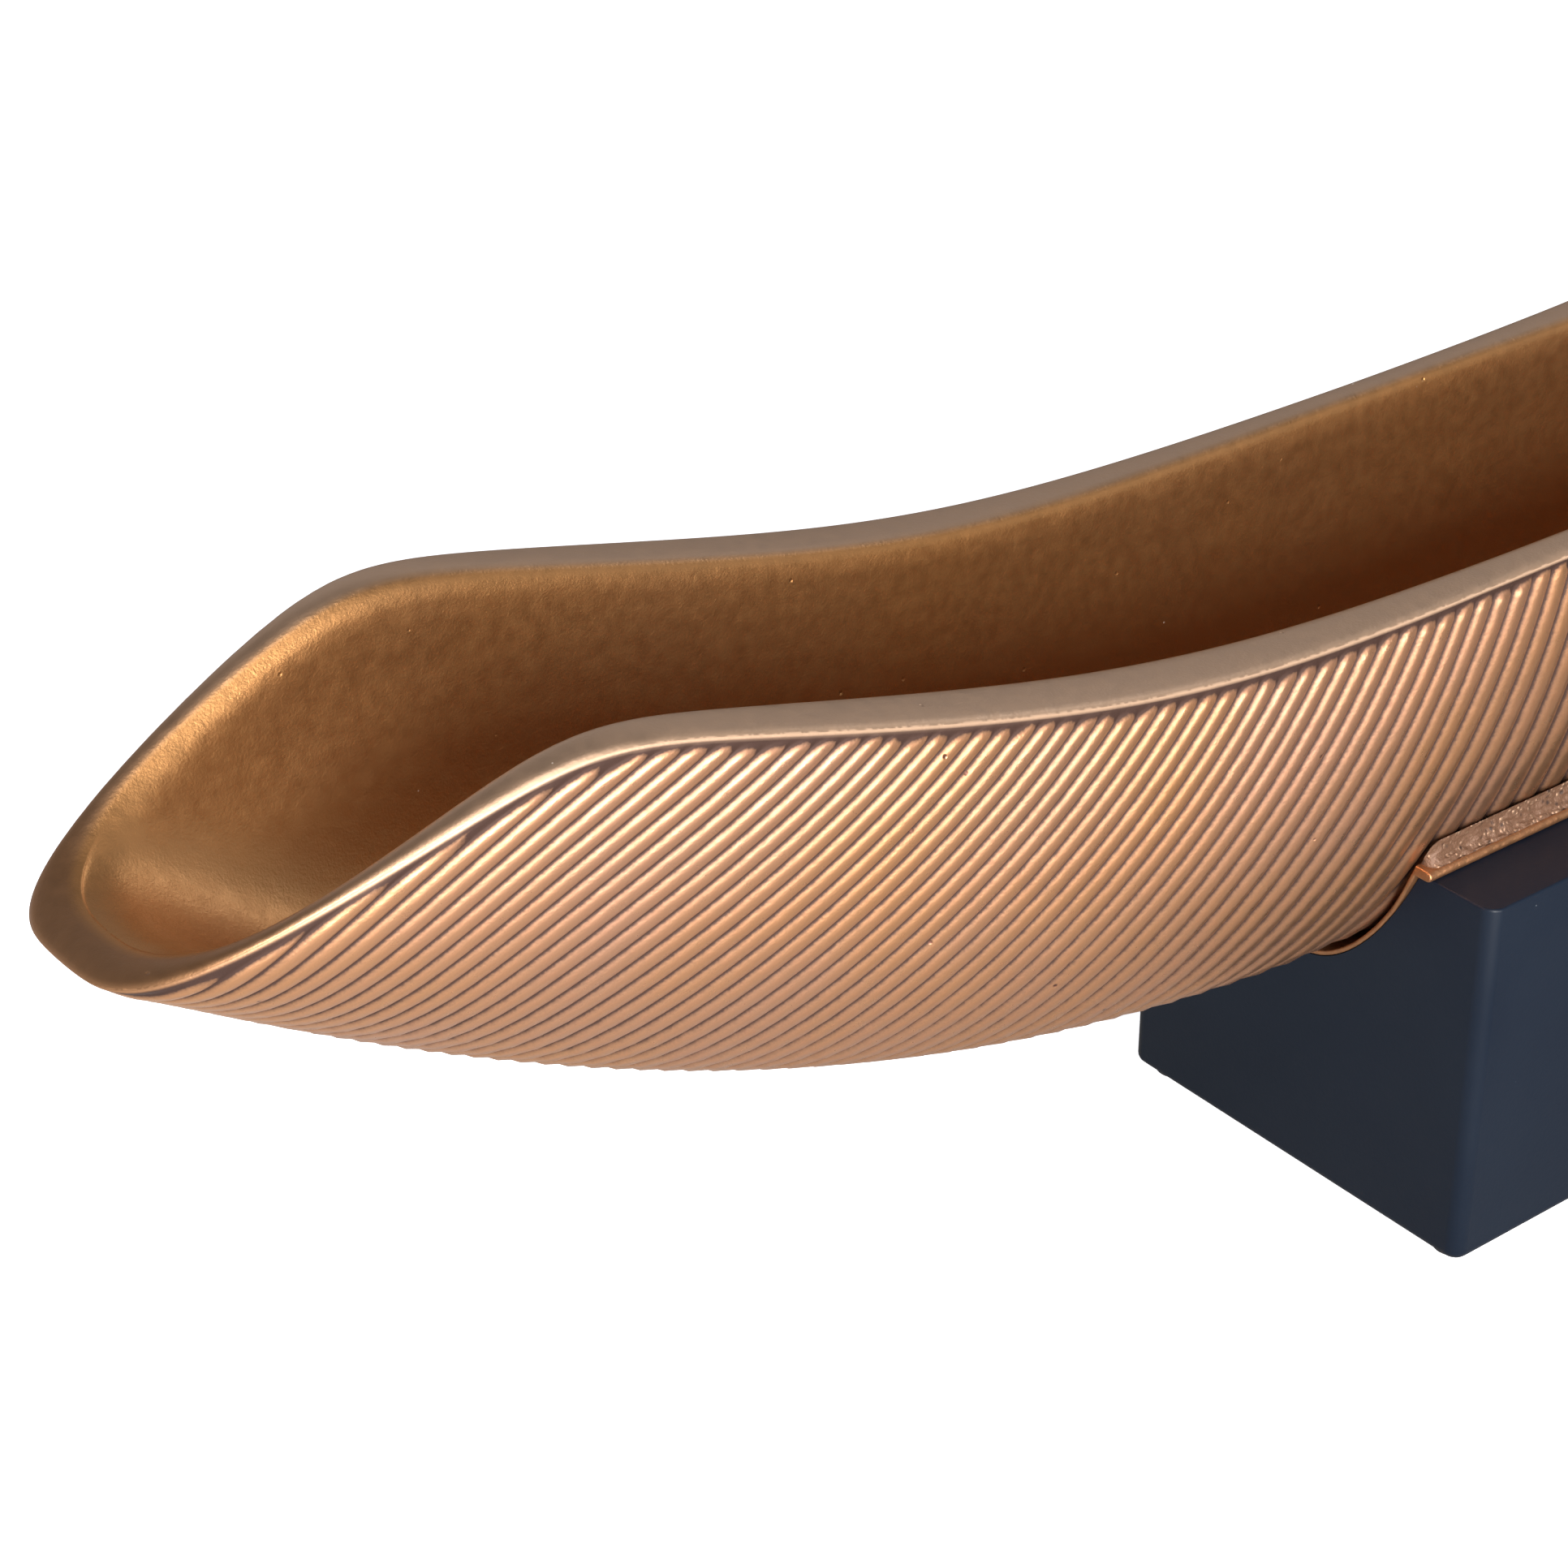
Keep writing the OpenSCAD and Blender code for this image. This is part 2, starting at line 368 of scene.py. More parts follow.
SOCKETS: dict[Effect, dict[str, tuple[str, str]]] = {
    Effect.GRAIN: {
        "Size": ("INPUT", "Float"),
        "Coarse Share": ("INPUT", "Float"),
        "Height": ("OUTPUT", "Float"),
    },
    Effect.CLOUD: {"Size": ("INPUT", "Float"), "Contrast": ("INPUT", "Float"), "Mask": ("OUTPUT", "Float")},
    Effect.PITS: {
        "Spacing": ("INPUT", "Float"),
        "Share": ("INPUT", "Float"),
        "Radius": ("INPUT", "Float"),
        "Mask": ("OUTPUT", "Float"),
    },
}


def effect_group(effect: Effect) -> bpy.types.NodeTree:
    """The node group of an effect, made once.

    The grain is fine noise with a share of noise four times coarser. The cloud is slow noise stretched about
    its middle. The pits are round spots, one at most in each cell, kept only where the cell's own number is
    under the share.

    Args:
        effect: Which effect.

    Returns:
        The group.
    """
    if effect.value in bpy.data.node_groups:
        return bpy.data.node_groups[effect.value]
    group = bpy.data.node_groups.new(effect.value, "ShaderNodeTree")
    for label, (way, kind) in SOCKETS[effect].items():
        group.interface.new_socket(label, in_out=way, socket_type="NodeSocket" + kind)
    tree = Tree(group)
    given = group.nodes.new("NodeGroupInput").outputs
    out = group.nodes.new("NodeGroupOutput").inputs
    place = tree.add("TexCoord").outputs["Object"]
    if effect is Effect.GRAIN:
        per_metre = tree.maths("DIVIDE", 1.0, given["Size"])
        fine = tree.add("TexNoise", {"Vector": place, "Scale": per_metre, "Detail": 2.0, "Roughness": 0.6})
        wide = tree.maths("MULTIPLY", per_metre, 0.25)
        coarse = tree.add("TexNoise", {"Vector": place, "Scale": wide, "Detail": 1.0})
        share = given["Coarse Share"]
        kept = tree.maths("MULTIPLY", fine.outputs[0], tree.maths("SUBTRACT", 1.0, share))
        result = tree.maths("ADD", kept, tree.maths("MULTIPLY", coarse.outputs[0], share))
        tree.put(out["Height"], result)
    elif effect is Effect.CLOUD:
        per_metre = tree.maths("DIVIDE", 1.0, given["Size"])
        noise = tree.add("TexNoise", {"Vector": place, "Scale": per_metre, "Detail": 3.0, "Roughness": 0.55})
        off = tree.maths("MULTIPLY", tree.maths("SUBTRACT", noise.outputs[0], 0.5), given["Contrast"])
        tree.put(out["Mask"], tree.maths("ADD", off, 0.5, clamp=True))
    else:
        per_metre = tree.maths("DIVIDE", 1.0, given["Spacing"])
        cells = tree.add("TexVoronoi", {"Vector": place, "Scale": per_metre}, feature="F1")
        luck = tree.add("SeparateColor", {0: cells.outputs["Color"]}).outputs[0]
        chosen = tree.maths("LESS_THAN", luck, given["Share"])
        across = tree.maths("DIVIDE", cells.outputs["Distance"], given["Radius"])
        spot = tree.maths("SUBTRACT", 1.0, across, clamp=True)
        tree.put(out["Mask"], tree.maths("MULTIPLY", chosen, spot))
    return group


class Finish:
    """What every finish shares: a material with one Principled shader, and a place for its effects."""

    def start(self, name: str) -> tuple[bpy.types.Material, Tree, bpy.types.Node]:
        """A new material, its tree and its Principled shader.

        Args:
            name: Material name.

        Returns:
            The material, the tree helper and the shader node.
        """
        material = bpy.data.materials.new(name)
        material.use_nodes = True
        shader = material.node_tree.nodes["Principled BSDF"]
        return material, Tree(material.node_tree), shader

    def effect(self, tree: Tree, effect: Effect, **values: object) -> bpy.types.NodeSocket:
        """An effect placed in a material.

        Args:
            tree: The material's tree.
            effect: Which effect.
            values: Its inputs, with _ for a space.

        Returns:
            The effect's output.
        """
        node = tree.add("Group", node_tree=effect_group(effect))
        for label, value in values.items():
            tree.put(node.inputs[label.replace("_", " ")], value)
        return node.outputs[0]

    def raise_up(self, tree: Tree, shader: bpy.types.Node, heights: list[tuple[object, float]]) -> None:
        """Adds height patterns to a shader's normal, one Bump node after the other.

        Args:
            tree: The material's tree.
            shader: Its Principled shader.
            heights: A height socket and its depth in metres for each.
        """
        normal = None
        for height, depth in heights:
            inputs = {"Height": height, "Distance": depth, "Strength": 1.0}
            if normal is not None:
                inputs["Normal"] = normal
            normal = tree.add("Bump", inputs).outputs[0]
        tree.put(shader.inputs["Normal"], normal)


@dataclass(frozen=True)
class CopperPaint(Finish):
    """Metallic copper and bronze paint, darker on the rim and inside; paint and painted shade darken the
    grooves, painted shade the rim's tip.
    """

    name: str = "ribbed_copper"
    ridge: Colour = (0.60, 0.305, 0.135)
    ridge_rose: Colour = (0.56, 0.310, 0.195)
    # Groove colour: partly mauve-brown paint, partly painted shade that darkens the grooves.
    groove: Colour = (0.055, 0.027, 0.020)
    rim: Colour = (0.57, 0.38, 0.255)
    # Painted shade: the rim's colour at the tip, darker where the rim turns away from the light.
    rim_tip_shade: Colour = (0.32, 0.165, 0.08)
    inner: Colour = (0.49, 0.238, 0.085)
    inner_rose: Colour = (0.44, 0.24, 0.115)
    worn: Colour = (0.46, 0.20, 0.11)
    pit: Colour = (0.16, 0.07, 0.05)
    speck: Colour = (0.95, 0.88, 0.78)
    groove_to_ridge: Span = (0.24, 0.82)
    groove_fray: float = 0.08
    rim_tip_shade_span: Span = (0.30, 0.365)
    metallic: float = 0.92
    metallic_groove: float = 0.55
    rough_outside: float = 0.30
    rough_groove: float = 0.62
    rough_rim: float = 0.45
    rough_inside: float = 0.40
    peel_inside: float = 1.7

    def build(self) -> bpy.types.Material:
        """Makes the material from the rib, rim and inner attributes of the bowl.

        Returns:
            The material.
        """
        material, tree, shader = self.start(self.name)
        rib, rim, inner = (tree.attribute(name) for name in ("rib_height", "rim_share", "inner_share"))
        cloud = self.effect(tree, Effect.CLOUD, Size=0.060, Contrast=2.4)
        mottle = self.effect(tree, Effect.CLOUD, Size=0.0035, Contrast=2.2)
        grain = self.effect(tree, Effect.GRAIN, Size=0.0006, Coarse_Share=0.35)
        pits = self.effect(tree, Effect.PITS, Spacing=0.0060, Share=0.10, Radius=0.10)
        specks = self.effect(tree, Effect.PITS, Spacing=0.0050, Share=0.05, Radius=0.07)

        ridge = tree.blend(cloud, self.ridge, self.ridge_rose)
        ridge = tree.blend(tree.between(mottle, 0.0, 1.0, 0.0, 0.22), ridge, self.worn)
        fray = tree.between(grain, 0.3, 0.7, -self.groove_fray, self.groove_fray)
        # Where the rib is low, the groove colour lays mauve-brown paint and painted shade into the grooves.
        edge = tree.between(tree.maths("ADD", rib, fray), *self.groove_to_ridge)
        outside = tree.blend(edge, self.groove, ridge)
        outside = tree.blend(tree.between(pits, 0.0, 0.5), outside, self.pit)
        # Painted shade: along X towards the tip the rim's colour darkens to its shaded tip colour.
        tip = tree.between(tree.maths("ABSOLUTE", tree.coordinate("Object", "X")), *self.rim_tip_shade_span)
        rim_tone = tree.blend(tip, self.rim, self.rim_tip_shade)
        inner_tone = tree.blend(tree.between(cloud, 0.0, 1.0, 0.0, 0.35), self.inner, self.inner_rose)
        colour = tree.blend(inner, tree.blend(rim, outside, rim_tone), inner_tone)
        seen = tree.maths("MULTIPLY", tree.between(specks, 0.0, 0.4), tree.maths("MAXIMUM", inner, rim))
        tree.put(shader.inputs["Base Color"], tree.blend(seen, colour, self.speck))

        rough = tree.between(edge, 0.0, 1.0, self.rough_groove, self.rough_outside)
        rough = tree.pick(inner, tree.pick(rim, rough, self.rough_rim), self.rough_inside)
        uneven = tree.between(mottle, 0.0, 1.0, -0.04, 0.06)
        tree.put(shader.inputs["Roughness"], tree.maths("ADD", rough, uneven))
        metal = tree.between(edge, 0.0, 1.0, self.metallic_groove, self.metallic)
        tree.put(shader.inputs["Metallic"], tree.maths("SUBTRACT", metal, tree.maths("MULTIPLY", seen, 0.6)))
        hollow = tree.maths("MULTIPLY", tree.between(pits, 0.0, 1.0), -1.0)
        peel = tree.maths("MULTIPLY", grain, tree.between(inner, 0.0, 1.0, 1.0, self.peel_inside))
        self.raise_up(tree, shader, [(peel, 0.00007), (mottle, 0.00004), (hollow, 0.0003)])
        return material


@dataclass(frozen=True)
class FillerGrit(Finish):
    """Grainy filler, pink-brown with paler and darker grains, partly covered by copper paint."""

    name: str = "filler_grit"
    base: Colour = (0.130, 0.066, 0.038)
    pale: Colour = (0.38, 0.235, 0.155)
    dark: Colour = (0.040, 0.021, 0.015)

    def build(self) -> bpy.types.Material:
        """Makes the material.

        Returns:
            The material.
        """
        material, tree, shader = self.start(self.name)
        grain = self.effect(tree, Effect.GRAIN, Size=0.0008, Coarse_Share=0.5)
        light = self.effect(tree, Effect.PITS, Spacing=0.0013, Share=0.4, Radius=0.5)
        deep = self.effect(tree, Effect.PITS, Spacing=0.0017, Share=0.3, Radius=0.5)
        tone = tree.blend(tree.between(light, 0.0, 0.6), self.base, self.pale)
        tone = tree.blend(tree.between(deep, 0.1, 0.7), tone, self.dark)
        tree.put(shader.inputs["Base Color"], tone)
        tree.put(shader.inputs["Metallic"], tree.between(light, 0.0, 0.6, 0.25, 0.75))
        shader.inputs["Roughness"].default_value = 0.55
        self.raise_up(tree, shader, [(grain, 0.0006), (light, 0.0004)])
        return material


@dataclass(frozen=True)
class TwoTone(Finish):
    """A painted, cast, pressed, moulded or turned surface: two tones in clouds, fine grain, perhaps dust."""

    name: str
    base: Colour
    other: Colour
    rough: Span
    metallic: float = 0.0
    cloud_size: float = 0.005
    contrast: float = 2.4
    other_share: float = 1.0
    cloud_depth: float = 0.0
    grain_size: float = 0.0006
    coarse_share: float = 0.4
    grain_depth: float = 0.0001
    specular: float = 0.5
    dust_share: float = 0.0
    dust: Colour = (0.3, 0.33, 0.36)

    def build(self) -> bpy.types.Material:
        """Makes the material.

        Returns:
            The material.
        """
        material, tree, shader = self.start(self.name)
        cloud = self.effect(tree, Effect.CLOUD, Size=self.cloud_size, Contrast=self.contrast)
        grain = self.effect(tree, Effect.GRAIN, Size=self.grain_size, Coarse_Share=self.coarse_share)
        tone = tree.blend(tree.between(cloud, 0.0, 1.0, 0.0, self.other_share), self.base, self.other)
        if self.dust_share > 0.0:
            dust = self.effect(tree, Effect.PITS, Spacing=0.006, Share=self.dust_share, Radius=0.05)
            tone = tree.blend(tree.between(dust, 0.0, 0.5, 0.0, 0.3), tone, self.dust)
        tree.put(shader.inputs["Base Color"], tone)
        tree.put(shader.inputs["Roughness"], tree.between(cloud, 0.0, 1.0, *self.rough))
        shader.inputs["Metallic"].default_value = self.metallic
        shader.inputs["Specular IOR Level"].default_value = self.specular
        heights = [(grain, self.grain_depth)]
        if self.cloud_depth > 0.0:
            heights.append((cloud, self.cloud_depth))
        self.raise_up(tree, shader, heights)
        return material


SADDLE_COPPER = TwoTone(
    "saddle_copper", (0.46, 0.23, 0.11), (0.27, 0.12, 0.06), (0.34, 0.50), metallic=0.9, cloud_size=0.004,
    contrast=2.6, other_share=0.5, cloud_depth=0.0002, grain_depth=0.00012,
)
PLINTH_LACQUER = TwoTone(
    "plinth_lacquer", (0.0035, 0.0075, 0.0165), (0.0050, 0.0095, 0.0190), (0.34, 0.44), cloud_size=0.030,
    contrast=1.8, grain_size=0.0011, coarse_share=0.5, grain_depth=0.00004, specular=0.22, dust_share=0.10,
)
PAD_RUBBER = TwoTone(
    "pad_rubber", (0.012, 0.012, 0.013), (0.022, 0.021, 0.021), (0.64, 0.76), cloud_size=0.004,
    grain_depth=0.00006,
)
BALLAST_IRON = TwoTone(
    "ballast_iron", (0.16, 0.155, 0.15), (0.09, 0.075, 0.065), (0.56, 0.68), metallic=0.8, cloud_size=0.012,
    grain_size=0.0012, grain_depth=0.0003,
)
BOARD_FIBRE = TwoTone(
    "board_fibre", (0.24, 0.155, 0.085), (0.19, 0.12, 0.065), (0.69, 0.81), cloud_size=0.006,
    grain_size=0.0009,
)
FIXING_STEEL = TwoTone(
    "fixing_steel", (0.62, 0.62, 0.60), (0.50, 0.50, 0.47), (0.26, 0.38), metallic=1.0, grain_size=0.0004,
    grain_depth=0.00002,
)


# ---------------------------------------------------------------- the bowl


@dataclass
class EdgeRound:
    """A rounded edge: where the sharp edge runs, and how far and which way it is eased.

    A point whose distance d to the edge is under the reach L moves by (L - d)^2 / 4L times the sum of the two
    unit directions that leave the edge along its faces, which turns the corner into a parabola.
    """

    places: np.ndarray
    along: np.ndarray
    pull: np.ndarray
    reach: np.ndarray

    def distance(self, points: np.ndarray) -> tuple[np.ndarray, np.ndarray]:
        """How far points are from the edge.

        Args:
            points: Places, one row of three for each.

        Returns:
            The distances, and the number of the nearest place on the edge for each.
        """
        cross = points @ self.places.T
        gap = (self.places**2).sum(axis=1) - 2.0 * cross
        nearest = np.argmin(gap, axis=1)
        off = points - self.places[nearest]
        along = self.along[nearest]
        off = off - (off * along).sum(axis=1, keepdims=True) * along
        return np.linalg.norm(off, axis=1), nearest

    def ease(self, points: np.ndarray) -> tuple[np.ndarray, np.ndarray]:
        """Moves points near the edge on to its rounding.

        Args:
            points: Places on the sharp form.

        Returns:
            The moves to add to the places, and the distances to the edge.
        """
        distance, nearest = self.distance(points)
        reach = self.reach[nearest]
        amount = np.clip(reach - distance, 0.0, None) ** 2 / (4.0 * reach)
        return amount[:, None] * self.pull[nearest], distance


@dataclass
class BowlForm:
    """The bowl's smooth form, as in the CAD frame.

    u is the distance from the middle as a share of half the length.
    """

    half_l: float = 380.0
    half_w: float = 58.0
    plan_power: float = 0.3
    waist: float = 0.176
    waist_reach: float = 0.723
    seat_h: float = 100.4
    dip: float = 35.8
    rim_power: float = 2.255
    hull_power: float = 1.79
    hollow_power: float = 2.0
    hollow_end: float = 0.97
    hollow_w: float = 35.0
    hollow_lift: float = 0.6
    floor_t: float = 12.0
    hollow_crowd: float = 8.0
    hollow_square: float = 10.0
    hollow_blunt: float = 0.35
    swell: float = 0.097
    swell_reach: float = 0.445
    ramp_low: float = 79.7
    ramp_rise: float = 109.1
    ramp_from: float = 0.376
    ramp_soft: float = 0.077
    fall_low: float = 87.5
    fall_rise: float = 153.6
    rim_soft: float = 6.25
    reach_power: int = 6

    def side(self, u: np.ndarray) -> np.ndarray:
        """Blunt-ended plan: (1 - u^2) to the plan power."""
        return np.clip(1.0 - u * u, 0.0, None) ** self.plan_power

    def even_u(self, count: int) -> np.ndarray:
        """Places from the middle to the tip at even steps of the plan's angle, whose cosine is the side."""
        lean = np.linspace(0.0, 1.0, count) * RIGHT_ANGLE
        return np.sqrt(np.clip(1.0 - np.cos(lean) ** (1.0 / self.plan_power), 0.0, 1.0))

    def plan_w(self, u: np.ndarray) -> np.ndarray:
        """Half width: the plan, drawn in at a waist (1 - (u / reach)^2)^2 in the middle."""
        waist = np.clip(1.0 - (u / self.waist_reach) ** 2, 0.0, None) ** 2
        return self.half_w * self.side(u) * (1.0 - self.waist * waist)

    def rim_h(self, u: np.ndarray) -> np.ndarray:
        """Height of the rim: a soft least of a ramp that starts gently and a fall to the tip.

        Args:
            u: Places along.

        Returns:
            The heights.
        """
        soft = self.ramp_soft
        ramp = self.ramp_low + self.ramp_rise * soft * np.logaddexp(0.0, (u - self.ramp_from) / soft)
        fall = self.fall_low + self.fall_rise * (1.0 - u)
        return self.seat_h - self.rim_soft * np.logaddexp(-ramp / self.rim_soft, -fall / self.rim_soft)

    def keel_h(self, u: np.ndarray) -> np.ndarray:
        """Height of the keel: rises from the middle to the tip as u to the rim power."""
        low = self.seat_h - self.dip
        return low + (self.rim_h(np.float64(1.0)) - low) * u**self.rim_power

    def floor_h(self, u: np.ndarray) -> np.ndarray:
        """Height of the hollow's floor: as the keel, a floor thickness higher, ending at the hollow's tip.

        Args:
            u: Places along.

        Returns:
            The heights.
        """
        low = self.seat_h - self.dip + self.floor_t
        end = self.rim_h(np.float64(self.hollow_end)) + self.hollow_lift
        return low + (end - low) * np.clip(u / self.hollow_end, 0.0, 1.0) ** self.rim_power

    def hollow_half(self, u: np.ndarray) -> np.ndarray:
        """Half width of the hollow: squarer ends than the plan, and wider in the middle.

        Args:
            u: Places along.

        Returns:
            The half widths.
        """
        end = np.clip(1.0 - (u / self.hollow_end) ** self.hollow_square, 0.0, None) ** self.hollow_blunt
        middle = np.clip(1.0 - (u / self.swell_reach) ** 2, 0.0, None) ** 2
        return self.hollow_w * end * (1.0 + self.swell * middle)

    def hollow_u(self, u: np.ndarray) -> np.ndarray:
        """Place along the hollow that belongs to a place along the rim, crowded to the tip."""
        return u * (1.0 - (1.0 - self.hollow_end) * u**self.hollow_crowd)

    def hollow_top(self, u: np.ndarray) -> np.ndarray:
        """Height of the hollow's edge."""
        return self.rim_h(u) + self.hollow_lift

    def hull_point(self, u: np.ndarray, a: np.ndarray) -> np.ndarray:
        """Place on the hull's section at u, a from 0 at the keel to a right angle at the rim."""
        return self.section(u, self.plan_w(u), self.rim_h(u), self.keel_h(u), self.hull_power, a)

    def hollow_point(self, u: np.ndarray, a: np.ndarray) -> np.ndarray:
        """Place on the hollow's section at u, a from 0 on the floor to a right angle at the edge."""
        return self.section(u, self.hollow_half(u), self.hollow_top(u), self.floor_h(u), self.hollow_power, a)

    def section(
        self, u: np.ndarray, width: np.ndarray, top: np.ndarray, low: np.ndarray, power: float, a: np.ndarray
    ) -> np.ndarray:
        """A quarter of a superellipse.

        y is the width times sin(a) to 2 / power, and z is the top less the depth times cos(a) to 2 / power.

        Args:
            u: Places along.
            width: Half widths there.
            top: Heights of the edge.
            low: Heights of the lowest place.
            power: Power of the superellipse.
            a: Angles from 0 at the lowest place to a right angle at the edge.

        Returns:
            The places.
        """
        y = width * np.clip(np.sin(a), 0.0, 1.0) ** (2.0 / power)
        z = top - (top - low) * np.clip(np.cos(a), 0.0, 1.0) ** (2.0 / power)
        return np.stack(np.broadcast_arrays(self.half_l * u, y, z), axis=-1)

    def hull_field(self, points: np.ndarray) -> np.ndarray:
        """Below zero inside the hull and above it outside: the superellipse's powers less one."""
        u = np.clip(np.abs(points[..., 0]) / self.half_l, 0.0, 1.0 - 1e-9)
        return self.field(points, self.plan_w(u), self.rim_h(u), self.keel_h(u), self.hull_power)

    def hollow_field(self, points: np.ndarray) -> np.ndarray:
        """Below zero inside the hollow and above it in its wall."""
        u = np.clip(np.abs(points[..., 0]) / self.half_l, 0.0, self.hollow_end - 1e-9)
        return self.field(points, self.hollow_half(u), self.hollow_top(u), self.floor_h(u), self.hollow_power)

    def field(
        self, points: np.ndarray, width: np.ndarray, top: np.ndarray, low: np.ndarray, power: float
    ) -> np.ndarray:
        """(|y| / width)^power + (depth below top / full depth)^power - 1."""
        depth = np.clip(top - points[..., 2], 0.0, None) / np.maximum(top - low, 1e-6)
        return (np.abs(points[..., 1]) / np.maximum(width, 1e-6)) ** power + depth**power - 1.0

    def hull_normal(self, points: np.ndarray, step: float = 0.02) -> np.ndarray:
        """Outward direction square to the hull: the slope of its field, by small steps.

        Args:
            points: Places on the hull.
            step: Length of the steps.

        Returns:
            The directions.
        """
        inside = points.copy()
        inside[..., 0] = np.minimum(inside[..., 0], self.half_l - 3.0 * step)
        slopes = []
        for axis in range(3):
            move = np.zeros(3)
            move[axis] = step
            slopes.append(self.hull_field(inside + move) - self.hull_field(inside - move))
        return unit(np.stack(slopes, axis=-1))

    def edge_round(self, hull: bool, reach: Span, count: int = 1600) -> EdgeRound:
        """The rounding of the rim's outer edge or of the hollow's edge, on the quarter with x and y above 0.

        One face's direction lies across the rim, square to the edge. The other's is found by halving the
        angle between level and just past straight down until the place at that angle lies on the wall.

        Args:
            hull: True for the rim's outer edge, False for the hollow's edge.
            reach: How far from the edge the rounding starts, at the middle and at the tip.
            count: Number of places along the edge.

        Returns:
            The rounding.
        """
        u = self.even_u(count)
        right = np.full(count, RIGHT_ANGLE)
        outer = self.hull_point(u, right)
        inner = self.hollow_point(self.hollow_u(u), right)
        steepest, halvings, probe = math.radians(110.0), 24, 0.7
        edge, across = (outer, inner - outer) if hull else (inner, outer - inner)
        along = unit(np.gradient(edge, axis=0))
        along[0], along[-1] = (1.0, 0.0, 0.0), (0.0, -1.0, 0.0)
        across = unit(across - (across * along).sum(axis=1, keepdims=True) * along)
        inward = across if hull else -across
        inward = unit(inward * np.array([1.0, 1.0, 0.0]))
        share = u**self.reach_power
        spread = reach[0] * (1.0 - share) + reach[1] * share
        down = np.array([0.0, 0.0, -1.0])
        wall = self.hull_field if hull else self.hollow_field
        low, high = np.full(count, 0.0), np.full(count, steepest)
        for _ in range(halvings):
            angle = 0.5 * (low + high)
            way = np.cos(angle)[:, None] * inward + np.sin(angle)[:, None] * down
            outside = wall(edge + way * spread[:, None] * probe) > 0.0
            high = np.where(outside, angle, high)
            low = np.where(outside, low, angle)
        way = np.cos(low)[:, None] * inward + np.sin(low)[:, None] * down
        way = unit(way - (way * along).sum(axis=1, keepdims=True) * along)
        return EdgeRound(edge, along, across + way, spread)


@dataclass
class RibLaw:
    """How the ribs run: the rib number at a place x along and g up the girth, as shares of half the length.

    The number is x times (at_keel + girth_1 g + girth_2 g^2 + crowd x^2), and 0 is the middle of the bowl.
    """

    at_keel: float = 35.1
    girth_1: float = 29.85
    girth_2: float = 136.4
    crowd: float = 19.87

    def slope(self, g: np.ndarray) -> np.ndarray:
        """Ribs for each share of the half length near the middle, at a girth."""
        return self.at_keel + self.girth_1 * g + self.girth_2 * g * g

    def number(self, x: np.ndarray, g: np.ndarray) -> np.ndarray:
        """Rib number at a place."""
        return x * (self.slope(g) + self.crowd * x * x)

    def place(self, number: np.ndarray, g: np.ndarray) -> np.ndarray:
        """Where along the bowl a rib crosses a girth: the one real root of the cubic, through sinh.

        Args:
            number: Rib number.
            g: The girth.

        Returns:
            The places along.
        """
        slope = self.slope(g)
        root = np.sqrt(slope / (3.0 * self.crowd))
        return 2.0 * root * np.sinh(np.arcsinh(1.5 * number / (slope * root)) / 3.0)

    def pitch(self, x: np.ndarray, g: np.ndarray) -> np.ndarray:
        """Distance from groove to groove, square to the ribs, as a share of half the length.

        Args:
            x: Places along.
            g: The girth there.

        Returns:
            The distances.
        """
        by_x = self.slope(g) + 3.0 * self.crowd * x * x
        by_g = x * (self.girth_1 + 2.0 * self.girth_2 * g)
        return 1.0 / np.hypot(by_x, by_g)


